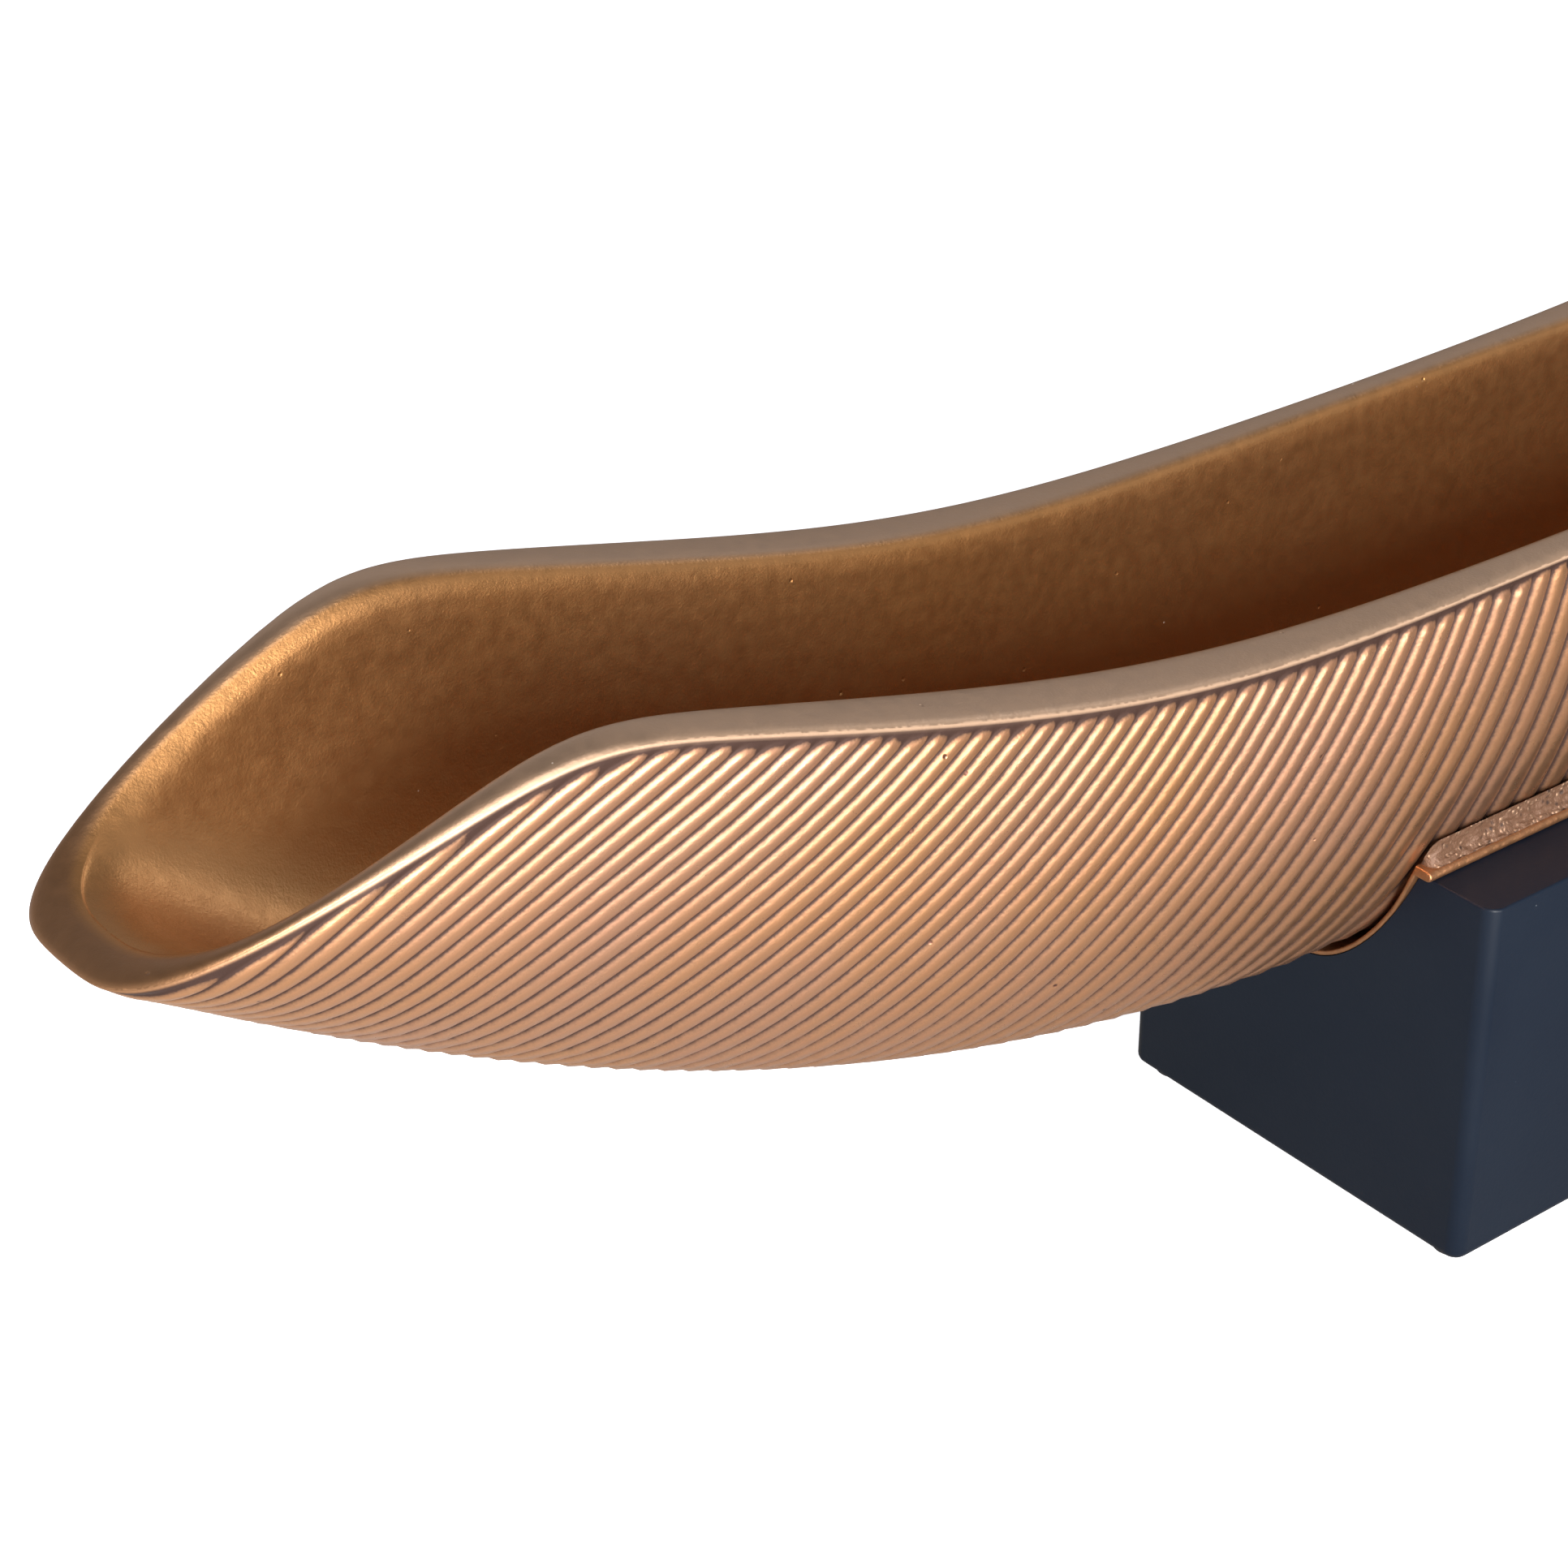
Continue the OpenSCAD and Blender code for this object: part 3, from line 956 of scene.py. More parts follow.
@dataclass
class RibbedBowl:
    """The bowl: ribbed flanks, an eased rim and a smooth hollow, in one closed skin."""

    form: BowlForm = field(default_factory=BowlForm)
    law: RibLaw = field(default_factory=RibLaw)
    paint: CopperPaint = field(default_factory=CopperPaint)
    rows: int = 34
    tip_columns: int = 34
    columns: tuple[float, ...] = (0.0, 0.06, 0.14, 0.28, 0.5, 0.72, 0.86, 0.94)
    row_crowd: float = 2.1
    rib_depth: float = 1.5
    depth_share: float = 0.25
    ridge_power: float = 2.1
    proud_share: float = 0.4
    seat_end: float = 58.0
    proud_length: float = 24.0
    sink_length: float = 3.5
    fade_start: float = 1.3
    fade_spread: float = 1.3
    fade_length: float = 2.8
    outer_reach: Span = (2.0, 2.6)
    inner_reach: Span = (3.2, 12.0)
    strip: tuple[float, ...] = (0.04, 0.09, 0.16, 0.27, 0.42, 0.57, 0.70, 0.81, 0.90, 0.96, 1.0)
    crown: float = 0.5
    hollow_rows: int = 16
    hollow_row_crowd: float = 1.5
    plan_steps: int = 900
    girth_steps: int = 400
    least_step: float = 0.003
    tip_blend: float = 12.0
    flank_rim_fade: Span = (0.2, 1.4)
    hollow_rim_fade: float = 5.0
    inner_fade: Span = (0.5, 3.5)
    seed: int = 11

    def girth_table(self) -> tuple[np.ndarray, np.ndarray, np.ndarray]:
        """Lengths up the hull's sections, at even steps of the plan's angle.

        Returns:
            u at each step, the whole girth there, and the section angle for each even share of the girth.
        """
        u = self.form.even_u(self.plan_steps)
        a = np.linspace(0.0, RIGHT_ANGLE, self.girth_steps)
        points = self.form.hull_point(u[:, None], a[None, :])
        steps = np.linalg.norm(np.diff(points, axis=1), axis=2)
        length = np.concatenate([np.zeros((len(u), 1)), np.cumsum(steps, axis=1)], axis=1)
        whole = length[:, -1]
        length[-1] = length[-2]
        share = np.linspace(0.0, 1.0, self.girth_steps)
        angle = np.stack([np.interp(share, row / row[-1], a) for row in length])
        return u, whole / self.form.half_l, angle

    def angle_at(self, table: np.ndarray, u: np.ndarray, share: np.ndarray) -> np.ndarray:
        """Section angle at u and a share of the girth, straight between the table's entries.

        Args:
            table: The angles from girth_table.
            u: Places along.
            share: Shares of the girth, 0 at the keel and 1 at the rim.

        Returns:
            The angles.
        """
        lean = np.arccos(np.clip(self.form.side(u), 0.0, 1.0)) / RIGHT_ANGLE
        row = np.clip(lean, 0.0, 1.0) * (table.shape[0] - 1)
        column = np.clip(share, 0.0, 1.0) * (table.shape[1] - 1)
        r0 = np.minimum(row.astype(int), table.shape[0] - 2)
        c0 = np.minimum(column.astype(int), table.shape[1] - 2)
        fr, fc = row - r0, column - c0
        near = table[r0, c0] * (1 - fc) + table[r0, c0 + 1] * fc
        far = table[r0 + 1, c0] * (1 - fc) + table[r0 + 1, c0 + 1] * fc
        return near * (1 - fr) + far * fr

    def rib_numbers(self, u_table: np.ndarray, on_rim: np.ndarray, tip: float) -> np.ndarray:
        """The rib numbers of the flank's lines: set fractions of each rib, and some spaced round the tip.

        Args:
            u_table: Places along the rim.
            on_rim: Rib number at each, which rises to a top near the tip and then falls to the tip's number.
            tip: Rib number at the tip.

        Returns:
            The numbers in order, with the tip's and the top's among them.
        """
        top = int(np.argmax(on_rim))
        whole = np.arange(int(on_rim[top]) + 1)[:, None] + np.array(self.columns)[None, :]
        round_tip = on_rim[np.linspace(top, len(u_table) - 1, self.tip_columns + 2).astype(int)[1:-1]]
        numbers = np.sort(np.concatenate([whole.ravel(), round_tip]))
        numbers = numbers[np.concatenate([[True], np.diff(numbers) > self.least_step])]
        clear = (np.abs(numbers - tip) > self.least_step) & (on_rim[top] - numbers > self.least_step)
        numbers = np.sort(np.concatenate([numbers[clear], [tip, on_rim[top]]]))
        places_round_rim = 2 * len(numbers) - 1 - int(np.searchsorted(numbers, tip))
        if places_round_rim % 2 == 0:
            numbers = np.delete(numbers, len(self.columns) // 2)
        return numbers

    def flank_lines(self) -> tuple[np.ndarray, np.ndarray, np.ndarray, np.ndarray, int]:
        """Lines of one rib number each up a quarter of the smooth hull, in even steps with crowded ends.

        A line starts on the keel, or near the tip on the rim, and ends on the rim.

        Returns:
            The rib numbers, then u, the girth and the place itself along each line, and the number of the
            tip's line.
        """
        u_table, girth, angles = self.girth_table()
        on_rim = self.law.number(u_table, girth)
        top = int(np.argmax(on_rim))
        tip = float(self.law.number(np.float64(1.0), np.float64(0.0)))
        numbers = self.rib_numbers(u_table, on_rim, tip)
        at_tip = int(np.searchsorted(numbers, tip))

        high_u = np.interp(numbers, on_rim[: top + 1], u_table[: top + 1])
        low_u = np.interp(numbers, on_rim[top:][::-1], u_table[top:][::-1])
        high_g = np.interp(high_u, u_table, girth)
        low_g = np.where(np.arange(len(numbers)) > at_tip, np.interp(low_u, u_table, girth), 0.0)

        s = np.linspace(0.0, 1.0, self.rows + 1)
        one_end = 1.0 - (1.0 - s) ** self.row_crowd
        half = 0.5 * (1.0 - np.abs(2.0 * s - 1.0)) ** self.row_crowd
        two_ends = np.where(s < 0.5, half, 1.0 - half)
        mix = smoothstep(tip - self.tip_blend, tip, numbers)[:, None]
        rise = (1.0 - mix) * one_end + mix * two_ends

        g = low_g[:, None] + (high_g - low_g)[:, None] * rise
        u = np.clip(self.law.place(numbers[:, None], g), 0.0, 1.0)
        u[:, -1] = high_u
        u[at_tip:, 0] = low_u[at_tip:]
        u[at_tip, 0] = 1.0
        share = np.clip(g / np.maximum(np.interp(u, u_table, girth), 1e-9), 0.0, 1.0)
        share[:, -1] = 1.0
        share[at_tip + 1 :, 0] = 1.0
        return numbers, u, g, self.form.hull_point(u, self.angle_at(angles, u, share)), at_tip

    def flank(self, rim_edge: EdgeRound) -> tuple[np.ndarray, np.ndarray, np.ndarray, np.ndarray, int]:
        """A quarter of the ribbed flank, on a grid of rib number against height up the rib's line.

        A rib's cross form is 1 - r^power times the depth, where r is |2f - 1| for the fraction f from groove
        to groove. Towards the rim r grows to the hypotenuse of itself and the way to the rib's end, which
        rounds the end. The grooves are sunk below the smooth form, and a share of the depth stands proud,
        except in the seat.

        Args:
            rim_edge: The rim's outer rounding.

        Returns:
            The places, the rib height from 0 in a groove to 1, the distance to the rim, u, and the number of
            the tip's line.
        """
        numbers, u, g, sharp, at_tip = self.flank_lines()
        flat = sharp.reshape(-1, 3)
        move, distance = rim_edge.ease(flat)
        distance = distance.reshape(u.shape)

        luck = np.random.default_rng(self.seed).random(int(numbers[-1]) + 3)
        start = self.fade_start + self.fade_spread * luck[np.rint(numbers).astype(int)][:, None]
        to_end = 1.0 - np.clip((distance - start) / self.fade_length, 0.0, 1.0)
        fraction = numbers - np.floor(numbers)
        off = np.hypot(np.abs(2.0 * fraction - 1.0)[:, None], to_end)
        ridge = np.clip(1.0 - off**self.ridge_power, 0.0, 1.0)
        pitch = self.law.pitch(u, g) * self.form.half_l
        depth = np.minimum(self.rib_depth, self.depth_share * pitch)
        past_seat = (u * self.form.half_l - self.seat_end) / self.proud_length
        proud = self.proud_share * smoothstep(0.0, 1.0, past_seat)
        sink = (1.0 - proud) * smoothstep(0.0, self.sink_length, distance)
        normal = self.form.hull_normal(flat).reshape(sharp.shape)
        places = sharp + move.reshape(sharp.shape) + normal * ((ridge - sink) * depth)[..., None]
        places[0, :, 0] = 0.0
        places[: at_tip + 1, 0, 1] = 0.0
        return places, ridge, distance, u, at_tip

    def smooth_parts(
        self, u: np.ndarray, rim_edge: EdgeRound, inner_edge: EdgeRound
    ) -> tuple[np.ndarray, np.ndarray, np.ndarray, np.ndarray]:
        """A quarter of the rim's top and of the hollow, on grids whose columns follow the rim.

        The rim's top is straight from the outer edge to the hollow's edge with a low crown, 4 s (1 - s) high.

        Args:
            u: Places along the rim, from the middle to the tip.
            rim_edge: The rim's outer rounding.
            inner_edge: The hollow's rounding.

        Returns:
            The rim's places, their distances to the hollow's edge, and the same for the hollow.
        """
        right = np.full(len(u), RIGHT_ANGLE)
        outer = self.form.hull_point(u, right)
        inside = self.form.hollow_u(u)
        inner = self.form.hollow_point(inside, right)
        share = np.array(self.strip)[None, :, None]
        strip = outer[:, None] * (1.0 - share) + inner[:, None] * share
        strip[..., 2] += self.crown * 4.0 * (share * (1.0 - share))[..., 0]
        flat = strip.reshape(-1, 3)
        outer_move, _ = rim_edge.ease(flat)
        inner_move, strip_gap = inner_edge.ease(flat)
        strip = (flat + outer_move + inner_move).reshape(strip.shape)

        fall = 1.0 - np.linspace(0.0, 1.0, self.hollow_rows + 1) ** self.hollow_row_crowd
        bowl = self.form.hollow_point(inside[:, None], fall[None, :] * RIGHT_ANGLE)
        flat = bowl.reshape(-1, 3)
        bowl_move, bowl_gap = inner_edge.ease(flat)
        bowl = (flat + bowl_move).reshape(bowl.shape)
        bowl[:, -1, 1] = 0.0
        for part in (strip, bowl):
            part[0, :, 0] = 0.0
            part[-1, :, 1] = 0.0
        return strip, strip_gap.reshape(strip.shape[:2]), bowl, bowl_gap.reshape(bowl.shape[:2])

    def build(self) -> bpy.types.Object:
        """Makes the bowl: a quarter of flank, rim and hollow, mirrored to all four, welded.

        Returns:
            The bowl.
        """
        rim_edge = self.form.edge_round(True, self.outer_reach)
        inner_edge = self.form.edge_round(False, self.inner_reach)
        flank, rib, gap, u, at_tip = self.flank(rim_edge)
        rim_u = np.concatenate([u[:, -1], u[at_tip:-1, 0][::-1]])
        rim_places = np.concatenate([flank[:, -1], flank[at_tip:-1, 0][::-1]])
        strip, strip_gap, bowl, bowl_gap = self.smooth_parts(rim_u[::2], rim_edge, inner_edge)

        parts = [flank.reshape(-1, 3), rim_places, strip.reshape(-1, 3), bowl[:, 1:].reshape(-1, 3)]
        starts = np.cumsum([0] + [len(part) for part in parts])
        points = np.concatenate(parts)
        index = np.arange(starts[-1])
        flank_index = index[: starts[1]].reshape(flank.shape[:2])
        loop = index[starts[1] : starts[2]]
        strip_index = index[starts[2] : starts[3]].reshape(strip.shape[:2])
        bowl_index = index[starts[3] :].reshape(bowl.shape[0], bowl.shape[1] - 1)
        bowl_index = np.concatenate([strip_index[:, -1:], bowl_index], axis=1)
        first, middle, last = loop[:-1:2], loop[1::2], loop[2::2]
        near, far = strip_index[:-1, 0], strip_index[1:, 0]
        threes = ((first, middle, near), (middle, far, near), (middle, last, far))
        stitch = [np.stack(three, axis=1) for three in threes]
        quads = np.concatenate([grid_quads(flank_index), grid_quads(strip_index), grid_quads(bowl_index)])
        triangles = np.concatenate(stitch)

        rim_of_flank = 1.0 - smoothstep(*self.flank_rim_fade, gap.ravel())
        rim_of_hollow = 1.0 - smoothstep(0.0, self.hollow_rim_fade, bowl_gap[:, 1:].ravel())
        rim = np.concatenate([rim_of_flank, np.ones(starts[3] - starts[1]), rim_of_hollow])
        inner_of_strip = 1.0 - smoothstep(*self.inner_fade, strip_gap.ravel())
        inner = np.concatenate([np.zeros(starts[2]), inner_of_strip, np.ones(starts[4] - starts[3])])
        height = np.concatenate([rib.ravel(), np.ones(starts[4] - starts[1])])
        signs = ((1, 1), (-1, 1), (1, -1), (-1, -1))
        points = np.concatenate([points * np.array([sx, sy, 1.0]) for sx, sy in signs])
        faces = []
        for block in (quads, triangles):
            quarters = [block[:, :: sx * sy] + number * starts[4] for number, (sx, sy) in enumerate(signs)]
            faces.append(np.concatenate(quarters))
        marks = {"rib_height": height, "rim_share": rim, "inner_share": inner}
        marks = {label: np.tile(values, len(signs)) for label, values in marks.items()}
        return make_object("bowl_skin", points, faces, marks)

    def dress(self, obj: bpy.types.Object) -> None:
        """Paints the bowl and lets it stand for its CAD node."""
        stand_for(obj, self.paint.build(), "ribbed_copper", "bowl_shell")


# ---------------------------------------------------------------- the seat


@dataclass
class SaddleLining:
    """The formed copper lining: a trough under the hull with a flat ledge each side."""

    form: BowlForm = field(default_factory=BowlForm)
    paint: TwoTone = SADDLE_COPPER
    length: float = 116.0
    plinth_w: float = 112.4
    thickness: float = 2.6
    wall_t: float = 1.2
    ledge_y: float = 38.6
    seat_gap: float = 0.3
    end_round: float = 0.5
    lip_drop: float = 16.0
    lip_flush: float = 0.85
    section_steps: int = 600
    height_steps: int = 40
    height_crowd: float = 1.3
    boss_d: float = 16.0
    boss_edge: float = 0.5
    boss_bore: float = 6.1
    boss_l: float = 10.0
    boss_rise: float = 0.6
    boss_at: float = 28.0

    def wall(self, offset: float, top: float) -> np.ndarray:
        """Half of the trough's section: the hull's, moved out square to itself, from the keel to a height.

        Args:
            offset: How far out.
            top: The height.

        Returns:
            Places across and up.
        """
        u = np.float64(self.length / 2 / self.form.half_l)
        a = np.linspace(0.0, RIGHT_ANGLE, self.section_steps)
        middle = np.float64(0.0)
        width, high, low = self.form.plan_w(u), self.form.rim_h(middle), self.form.keel_h(middle)
        line = self.form.section(middle, width, high, low, self.form.hull_power, a)[:, 1:]
        way = np.gradient(line, axis=0)
        line = line + offset * unit(np.stack([way[:, 1], -way[:, 0]], axis=1))
        line[0, 0] = 0.0
        share = np.linspace(0.0, 1.0, self.height_steps) ** self.height_crowd
        height = share * (top - line[0, 1]) + line[0, 1]
        return np.stack([np.interp(height, line[:, 1], line[:, 0]), height], axis=1)

    def profile(self) -> np.ndarray:
        """The closed section: inner wall, ledge with a full-round edge, outer wall, and the same mirrored.

        Returns:
            Places across and up, in order round the section.
        """
        seat = self.form.seat_h
        inner = self.wall(self.seat_gap, seat + self.thickness)
        outer = self.wall(self.seat_gap + self.wall_t, seat)
        turn = np.linspace(RIGHT_ANGLE, -RIGHT_ANGLE, 13)
        half_t = self.thickness / 2
        centre = np.array([self.ledge_y - half_t, seat + half_t])
        nose = centre + half_t * np.stack([np.cos(turn), np.sin(turn)], axis=1)
        right = np.concatenate([inner, nose, outer[::-1]])
        left = right[::-1] * np.array([-1.0, 1.0])
        return np.concatenate([right, left[1:-1]])

    def build(self) -> bpy.types.Object:
        """Carries the section along the bowl, drawn in at each end over a quarter round, and adds the bosses.

        Low down, each end draws back towards the plinth's face.

        Returns:
            The lining.
        """
        line = self.profile()
        way = unit(np.roll(line, -1, axis=0) - np.roll(line, 1, axis=0))
        inward = np.stack([way[:, 1], -way[:, 0]], axis=1)
        turn = np.linspace(0.0, RIGHT_ANGLE, 6)
        inset = self.end_round * (1.0 - np.cos(turn))
        back = self.end_round * (1.0 - np.sin(turn))
        lip = (self.length - self.plinth_w) / 2
        flush = lip * (1.0 - smoothstep(self.form.seat_h - self.lip_drop, self.form.seat_h, line[:, 1]))
        half = self.length / 2 - self.lip_flush * flush
        flat = line[None] + inset[::-1, None, None] * inward[None]
        x = -half[None, :] + back[::-1, None]
        left = np.concatenate([x[..., None], flat], axis=2)
        points = np.concatenate([left, left[::-1] * np.array([-1.0, 1.0, 1.0])])
        obj = capped_tube("saddle_lining", points)
        bosses = self.build_bosses()
        with editing(obj.data) as shape:
            shape.from_mesh(bosses.data)
        bpy.data.objects.remove(bosses)
        return obj

    def build_bosses(self) -> bpy.types.Object:
        """Turns the two bored bosses under the trough: a closed ring profile round each bolt's axis.

        Returns:
            Both bosses in one mesh.
        """
        top = self.form.seat_h - self.form.dip - self.seat_gap - self.wall_t + self.boss_rise
        low = top - self.boss_rise - self.boss_l
        inside, outside = self.boss_bore / 2, self.boss_d / 2
        edge = self.boss_edge
        profile = [[inside, low], [outside - edge, low], [outside, low + edge], [outside, top], [inside, top]]
        profile.append(profile[0])
        places = [(-self.boss_at, 0.0), (self.boss_at, 0.0)]
        return turned_set("saddle_bosses", np.array(profile), places)

    def dress(self, obj: bpy.types.Object) -> None:
        """Paints the lining and lets it stand for its CAD node."""
        stand_for(obj, self.paint.build(), "saddle_copper", "saddle_cradle")


@dataclass
class FillerBead:
    """A grainy bead of filler in the corner between the hull and a ledge."""

    lining: SaddleLining = field(default_factory=SaddleLining)
    paint: FillerGrit = field(default_factory=FillerGrit)
    length: float = 112.4
    height: float = 6.5
    inset: float = 1.0
    gap: float = 0.4
    roughness: float = 0.45
    tallest_grain: float = 0.7
    hollow_out: float = 1.6
    hollow_up: float = 1.2
    stations: int = 180
    end_length: float = 3.0
    end_size: float = 0.35
    smoothing: int = 2
    seed: int = 5

    def build(self, side: int) -> bpy.types.Object:
        """Makes one bead: a hollow curve from the ledge up to the hull, roughened by smoothed random heights.

        The curve is (1 - t)^2 head + 2 t (1 - t) corner + t^2 foot. Each end shrinks over a quarter round.

        Args:
            side: 1 for the back ledge, -1 for the front one.

        Returns:
            The bead.
        """
        base = self.lining.form.seat_h + self.lining.thickness
        wall = self.lining.wall(self.gap, base + self.height)
        z = np.linspace(base, base + self.height, 9)
        back = np.stack([np.interp(z, wall[:, 1], wall[:, 0]), z], axis=1)
        foot = np.array([self.lining.ledge_y - self.inset, base])
        head = back[-1]
        t = np.linspace(0.0, 1.0, 20)[:, None]
        corner = np.array([back[0, 0] + self.hollow_out, base + self.hollow_up])
        face = (1 - t) ** 2 * head + 2 * t * (1 - t) * corner + t**2 * foot
        bottom = np.linspace(foot, back[0], 5)[1:-1]
        ring = np.concatenate([back[:-1], face, bottom])
        stations = np.linspace(-self.length / 2, self.length / 2, self.stations)
        rng = np.random.default_rng(self.seed + side)
        rough = rng.random((len(stations), len(ring)))
        for axis in (0, 1):
            for _ in range(self.smoothing):
                rough = (np.roll(rough, 1, axis) + 2.0 * rough + np.roll(rough, -1, axis)) / 4.0
        rough = (rough - rough.mean()) / rough.std() * self.roughness * 0.5
        shown = np.zeros(len(ring))
        first = len(back) - 1
        shown[first + 1 : first + len(face) - 1] = 1.0
        ease = np.clip((self.length / 2 - np.abs(stations)) / self.end_length, 0.0, 1.0)
        shrink = self.end_size + (1.0 - self.end_size) * np.sqrt(1.0 - (1.0 - ease) ** 2)
        centre = np.array([back[0, 0], base])
        flat = centre + (ring - centre)[None] * shrink[:, None, None]
        way = unit(np.roll(ring, -1, axis=0) - np.roll(ring, 1, axis=0))
        outward = np.stack([-way[:, 1], way[:, 0]], axis=1)
        outward *= np.where((outward * (ring - centre)).sum(axis=1) < 0, -1.0, 1.0)[:, None]
        flat = flat + (np.minimum(rough, self.tallest_grain) * shown * ease[:, None])[..., None] * outward
        x = np.broadcast_to(stations[:, None, None], (*flat.shape[:2], 1))
        points = np.concatenate([x, flat], axis=2) * np.array([1.0, float(side), 1.0])
        return capped_tube("filler_back" if side > 0 else "filler_front", points)

    def dress(self, front: bpy.types.Object, back: bpy.types.Object) -> None:
        """Colours both beads and lets them stand for their CAD nodes.

        Args:
            front: The front bead.
            back: The back bead.
        """
        material = self.paint.build()
        stand_for(front, material, "filler_grit", "filler_bead_front")
        stand_for(back, material, "filler_grit", "filler_bead_back")


@dataclass
class LacqueredPlinth:
    """The square plinth casing, its long edges eased, on four turned pads."""

    lacquer: TwoTone = PLINTH_LACQUER
    top_round: float = 1.4
    bottom_round: float = 2.6
    edge_steps: int = 5
    pad_d: float = 10.0
    pad_h: float = 2.0
    pad_at: float = 48.2
    pad_round: float = 0.5
    pad_flat: float = 0.6
    plinth_r: float = 4.0

    def build_casing(self) -> bpy.types.Object:
        """Copies the CAD casing, merges its flat faces and rounds its outer top and bottom edges.

        Returns:
            The casing.
        """
        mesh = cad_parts["plinth_casing"].data.copy()
        mesh.name = "casing_skin"
        low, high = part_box("plinth_casing")
        half = max(high[0], high[1])
        with editing(mesh) as shape:
            bmesh.ops.remove_doubles(shape, verts=shape.verts, dist=WELD)
            everything = {"verts": shape.verts, "edges": shape.edges, "delimit": {"NORMAL"}}
            bmesh.ops.dissolve_limit(shape, angle_limit=math.radians(0.5), **everything)
            for level, width in ((high[2], self.top_round), (low[2], self.bottom_round)):
                chosen = [edge for edge in shape.edges if self.is_outer(edge, level, half)]
                rounding = {"offset": width * MM, "offset_type": "OFFSET", "segments": self.edge_steps}
                rounding.update(profile=0.5, affect="EDGES", clamp_overlap=True)
                bmesh.ops.bevel(shape, geom=chosen, **rounding)
            cut_big_faces(shape)
            bmesh.ops.recalc_face_normals(shape, faces=shape.faces)
        mesh.shade_smooth()
        mesh.set_sharp_from_angle(angle=math.radians(28.0))
        return link("casing_skin", mesh)

    def is_outer(self, edge: bmesh.types.BMEdge, level: float, half: float) -> bool:
        """Whether an edge runs round the outside of the casing at a level.

        Args:
            edge: The edge.
            level: The height, in metres.
            half: Half the width of the casing, in metres.

        Returns:
            True if it does.
        """
        first, second = (vert.co for vert in edge.verts)
        on_level = max(abs(first.z - level), abs(second.z - level)) < WELD
        reach = [max(abs(place.x), abs(place.y)) for place in (first, second)]
        corner = self.plinth_r * MM * 0.5
        return on_level and min(reach) > half - corner and edge.calc_face_angle(0.0) > math.radians(45.0)

    def build_pads(self) -> bpy.types.Object:
        """Turns a pad's profile, straight with a rounded lower edge, at each corner.

        Returns:
            The four pads in one mesh.
        """
        radius = self.pad_d / 2
        turn = np.linspace(0.0, RIGHT_ANGLE, 6)
        across = radius - self.pad_round + self.pad_round * np.sin(turn)
        lower = np.stack([across, self.pad_round * (1.0 - np.cos(turn))], axis=1)
        upper = [[radius, self.pad_h], [0.0, self.pad_h]]
        profile = np.concatenate([[[0.0, 0.0], [radius * self.pad_flat, 0.0]], lower, upper])
        places = [(sx * self.pad_at, sy * self.pad_at) for sx in (-1, 1) for sy in (-1, 1)]
        return turned_set("pad_set", profile, places)

    def dress(self, casing: bpy.types.Object, pads: bpy.types.Object) -> None:
        """Lacquers the casing, and gives the pads and the inner CAD nodes their finishes.

        Args:
            casing: The casing.
            pads: The four pads.
        """
        stand_for(casing, self.lacquer.build(), "plinth_lacquer", "plinth_casing")
        stand_for(pads, PAD_RUBBER.build(), "pad_rubber", "foot_pads")
        dress_node("ballast_block", BALLAST_IRON.build())
        dress_node("base_board", BOARD_FIBRE.build())
        metal = FIXING_STEEL.build()
        for name in ("base_board_screws", "mounting_bolts", "flat_washers", "spring_washers"):
            dress_node(name, metal)


# ---------------------------------------------------------------- the studio


@dataclass(frozen=True)
class SoftLight:
    """A rectangular soft light that faces a place."""

    name: str
    place: Place
    size: tuple[float, float]
    power: float
    colour: Colour = (1.0, 1.0, 1.0)
    aim: Place = (-0.15, 0.0, 0.12)

    def build(self) -> bpy.types.Object:
        """Makes the light, turned to its aim.

        Returns:
            The light.
        """
        lamp = bpy.data.lights.new(self.name, "AREA")
        lamp.shape = "RECTANGLE"
        lamp.size, lamp.size_y = self.size
        lamp.energy = self.power
        lamp.color = self.colour
        obj = link(self.name, lamp)
        obj.location = self.place
        face_towards(obj, Vector(self.aim) - Vector(self.place))
        return obj


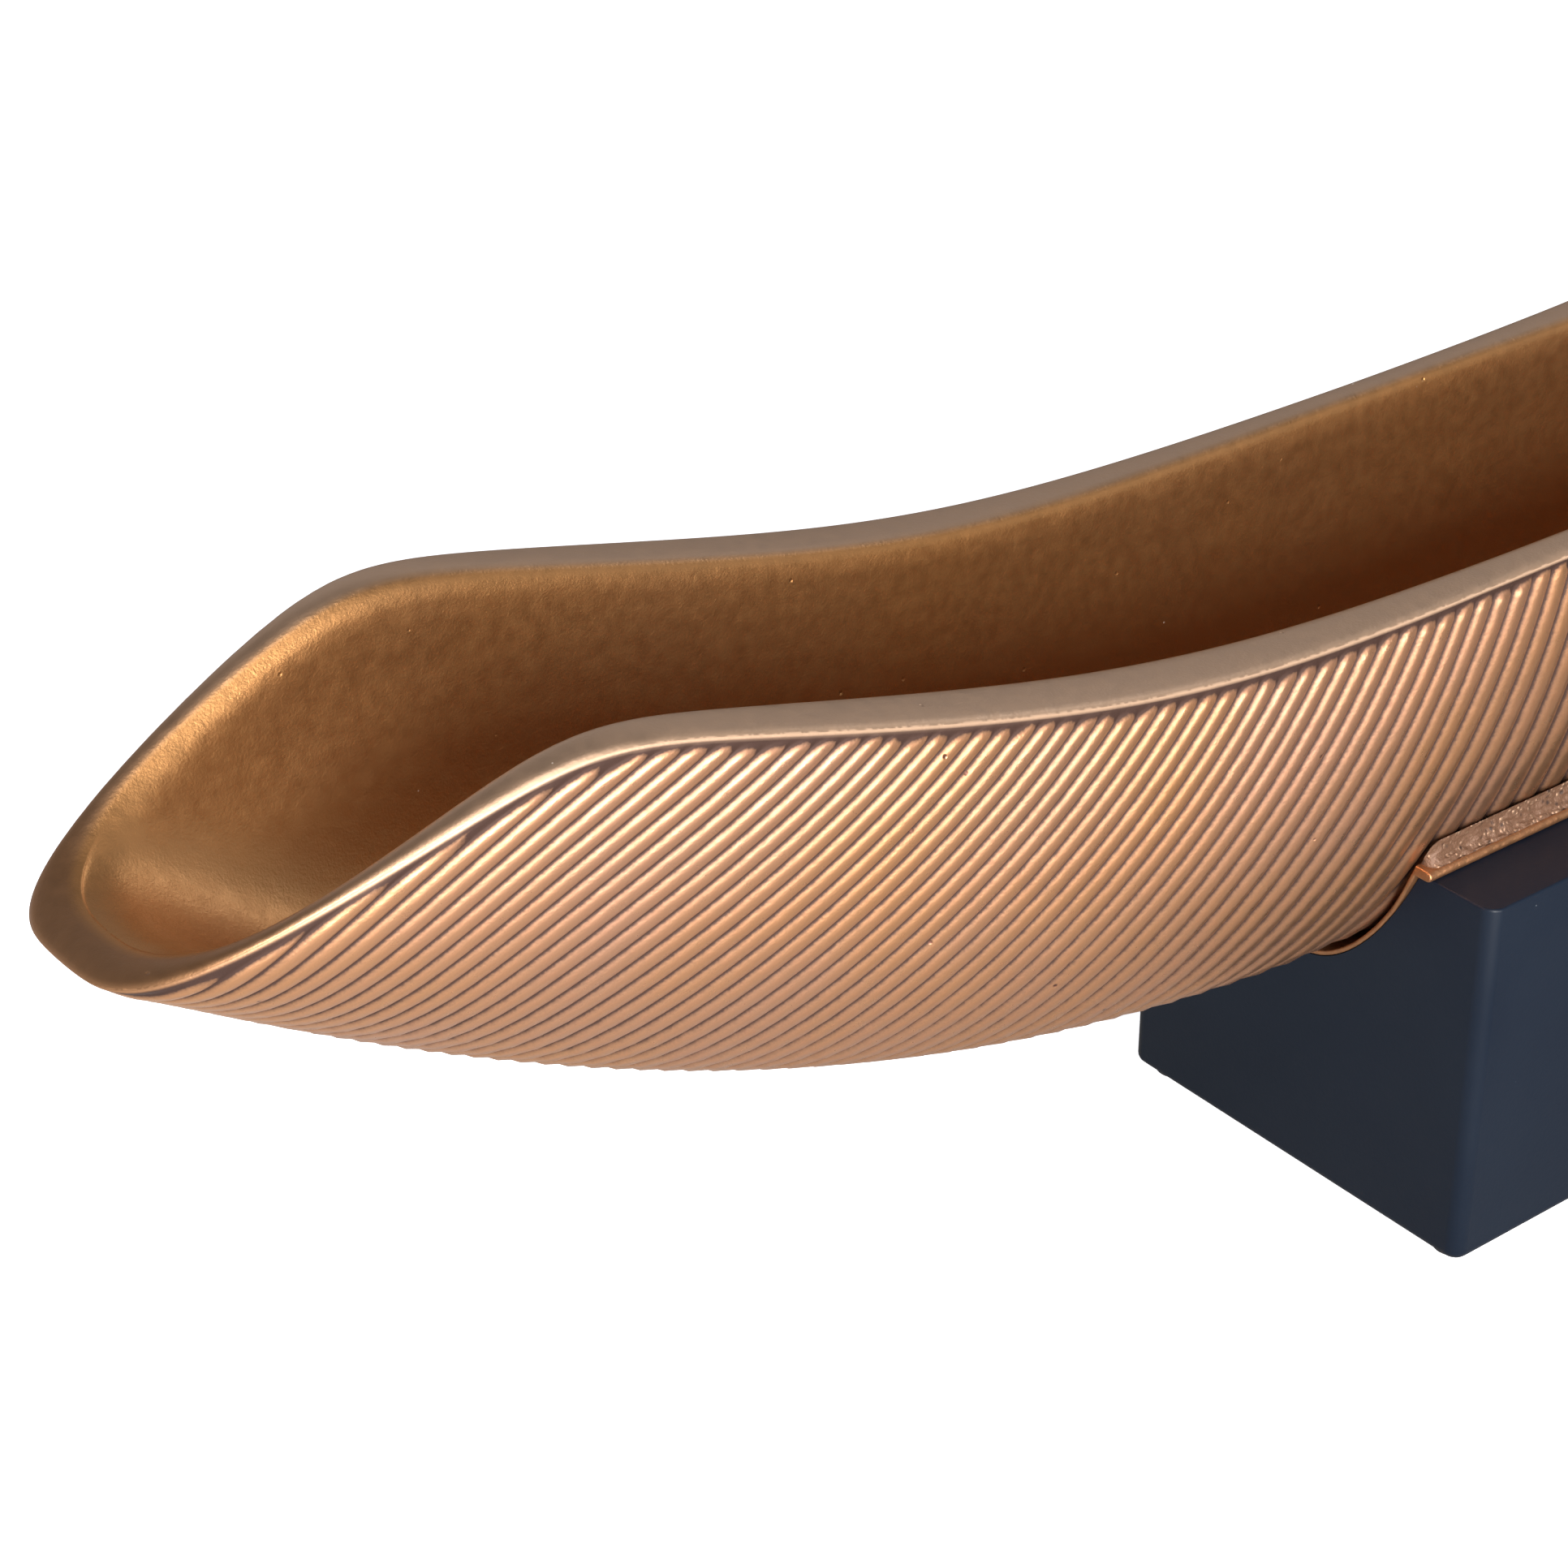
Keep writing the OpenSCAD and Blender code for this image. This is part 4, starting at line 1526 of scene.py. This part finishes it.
@dataclass
class Studio:
    """A pale floor, soft lights and the camera."""

    eye: Place = (-0.6304, -0.5230, 0.5490)
    turn: float = 38.45
    tilt: float = 29.86
    lens: float = 86.85
    horizon: Colour = (0.80, 0.80, 0.82)
    zenith: Colour = (0.10, 0.10, 0.11)
    floor_tone: Colour = (0.88, 0.88, 0.89)
    floor_glow: float = 0.95
    floor_bounce: Span = (0.55, 0.0)
    floor_return: Colour = (0.30, 0.29, 0.28)
    bounce_span: Span = (-0.40, 0.02)
    floor_half: float = 6.0
    floor_flat: float = 4.0
    floor_rise: float = 0.12
    floor_steps: int = 60
    lights: tuple[SoftLight, ...] = (
        SoftLight("key_light", (-0.95, -1.75, 0.95), (0.55, 0.55), 60.0, (1.0, 0.97, 0.92)),
        SoftLight("front_card", (-0.45, -1.50, 0.24), (1.2, 0.5), 27.0, (1.0, 0.98, 0.95)),
        SoftLight("front_top_light", (-0.5, -0.9, 2.0), (0.9, 0.7), 12.0),
        SoftLight("side_light", (2.0, 0.3, 0.9), (0.9, 0.9), 6.0, (0.95, 0.98, 1.0)),
    )

    def build(self) -> None:
        """Makes the floor, the world, the lights and the camera."""
        self.build_floor()
        world = bpy.data.worlds.new("studio_world")
        world.use_nodes = True
        sky = Tree(world.node_tree)
        tone = sky.blend(sky.between(sky.coordinate("Generated", "Z"), 0.0, 0.75), self.horizon, self.zenith)
        sky.put(world.node_tree.nodes["Background"].inputs["Color"], tone)
        bpy.context.scene.world = world
        bpy.context.scene.view_settings.view_transform = "Standard"
        for light in self.lights:
            light.build()
        log.info("studio: %d lights", len(self.lights))
        self.build_camera()

    def build_floor(self) -> None:
        """A wide floor that curves up past a circle, by the square of the distance past it.

        To the camera the paper is pale and glows. To other rays it is darker, and glows most on the left, a
        painted pool of light.
        """
        count = self.floor_steps
        line = np.linspace(-self.floor_half, self.floor_half, count)
        x, y = np.meshgrid(line, line, indexing="ij")
        z = np.clip(np.hypot(x, y) - self.floor_flat, 0.0, None) ** 2 * self.floor_rise
        points = np.stack([x, y, z], axis=2).reshape(-1, 3) / MM
        quads = grid_quads(np.arange(count * count).reshape(count, count))
        floor = make_object("studio_floor", points, [quads])
        if floor.data.polygons[0].normal.z < 0.0:
            floor.data.flip_normals()
        paper = Finish()
        material, tree, shader = paper.start("floor_paper")
        fibre = paper.effect(tree, Effect.CLOUD, Size=0.2, Contrast=1.0)
        seen = tree.add("LightPath").outputs["Is Camera Ray"]
        dim = tuple(part * 0.985 for part in self.floor_tone)
        tone = tree.blend(seen, self.floor_return, tree.blend(fibre, self.floor_tone, dim))
        # Painted pool of light: to rays other than the camera's, the floor glows, most on the left.
        bounce = tree.between(tree.coordinate("Object", "X"), *self.bounce_span, *self.floor_bounce)
        tree.put(shader.inputs["Base Color"], tone)
        tree.put(shader.inputs["Roughness"], 0.85)
        tree.put(shader.inputs["Specular IOR Level"], 0.1)
        tree.put(shader.inputs["Emission Color"], self.floor_tone)
        tree.put(shader.inputs["Emission Strength"], tree.pick(seen, bounce, self.floor_glow))
        floor.data.materials.append(material)

    def build_camera(self) -> None:
        """A camera at the eye, turned from +Y towards +X and tilted down."""
        data = bpy.data.cameras.new("view_camera")
        data.sensor_width = 36.0
        data.lens = self.lens
        data.clip_start, data.clip_end = 0.05, 40.0
        camera = link("view_camera", data)
        turn, tilt = math.radians(self.turn), math.radians(self.tilt)
        level = math.cos(tilt)
        camera.location = self.eye
        face_towards(camera, Vector((math.sin(turn) * level, math.cos(turn) * level, -math.sin(tilt))))
        bpy.context.scene.camera = camera


def main() -> None:
    """Builds the studio, the bowl, its seat and its plinth."""
    logging.basicConfig(level=logging.INFO, format="%(name)s: %(message)s")
    Studio().build()
    bowl = RibbedBowl()
    bowl.dress(bowl.build())
    lining = SaddleLining()
    lining.dress(lining.build())
    bead = FillerBead()
    bead.dress(bead.build(-1), bead.build(1))
    plinth = LacqueredPlinth()
    plinth.dress(plinth.build_casing(), plinth.build_pads())


if __name__ == "__main__":
    main()
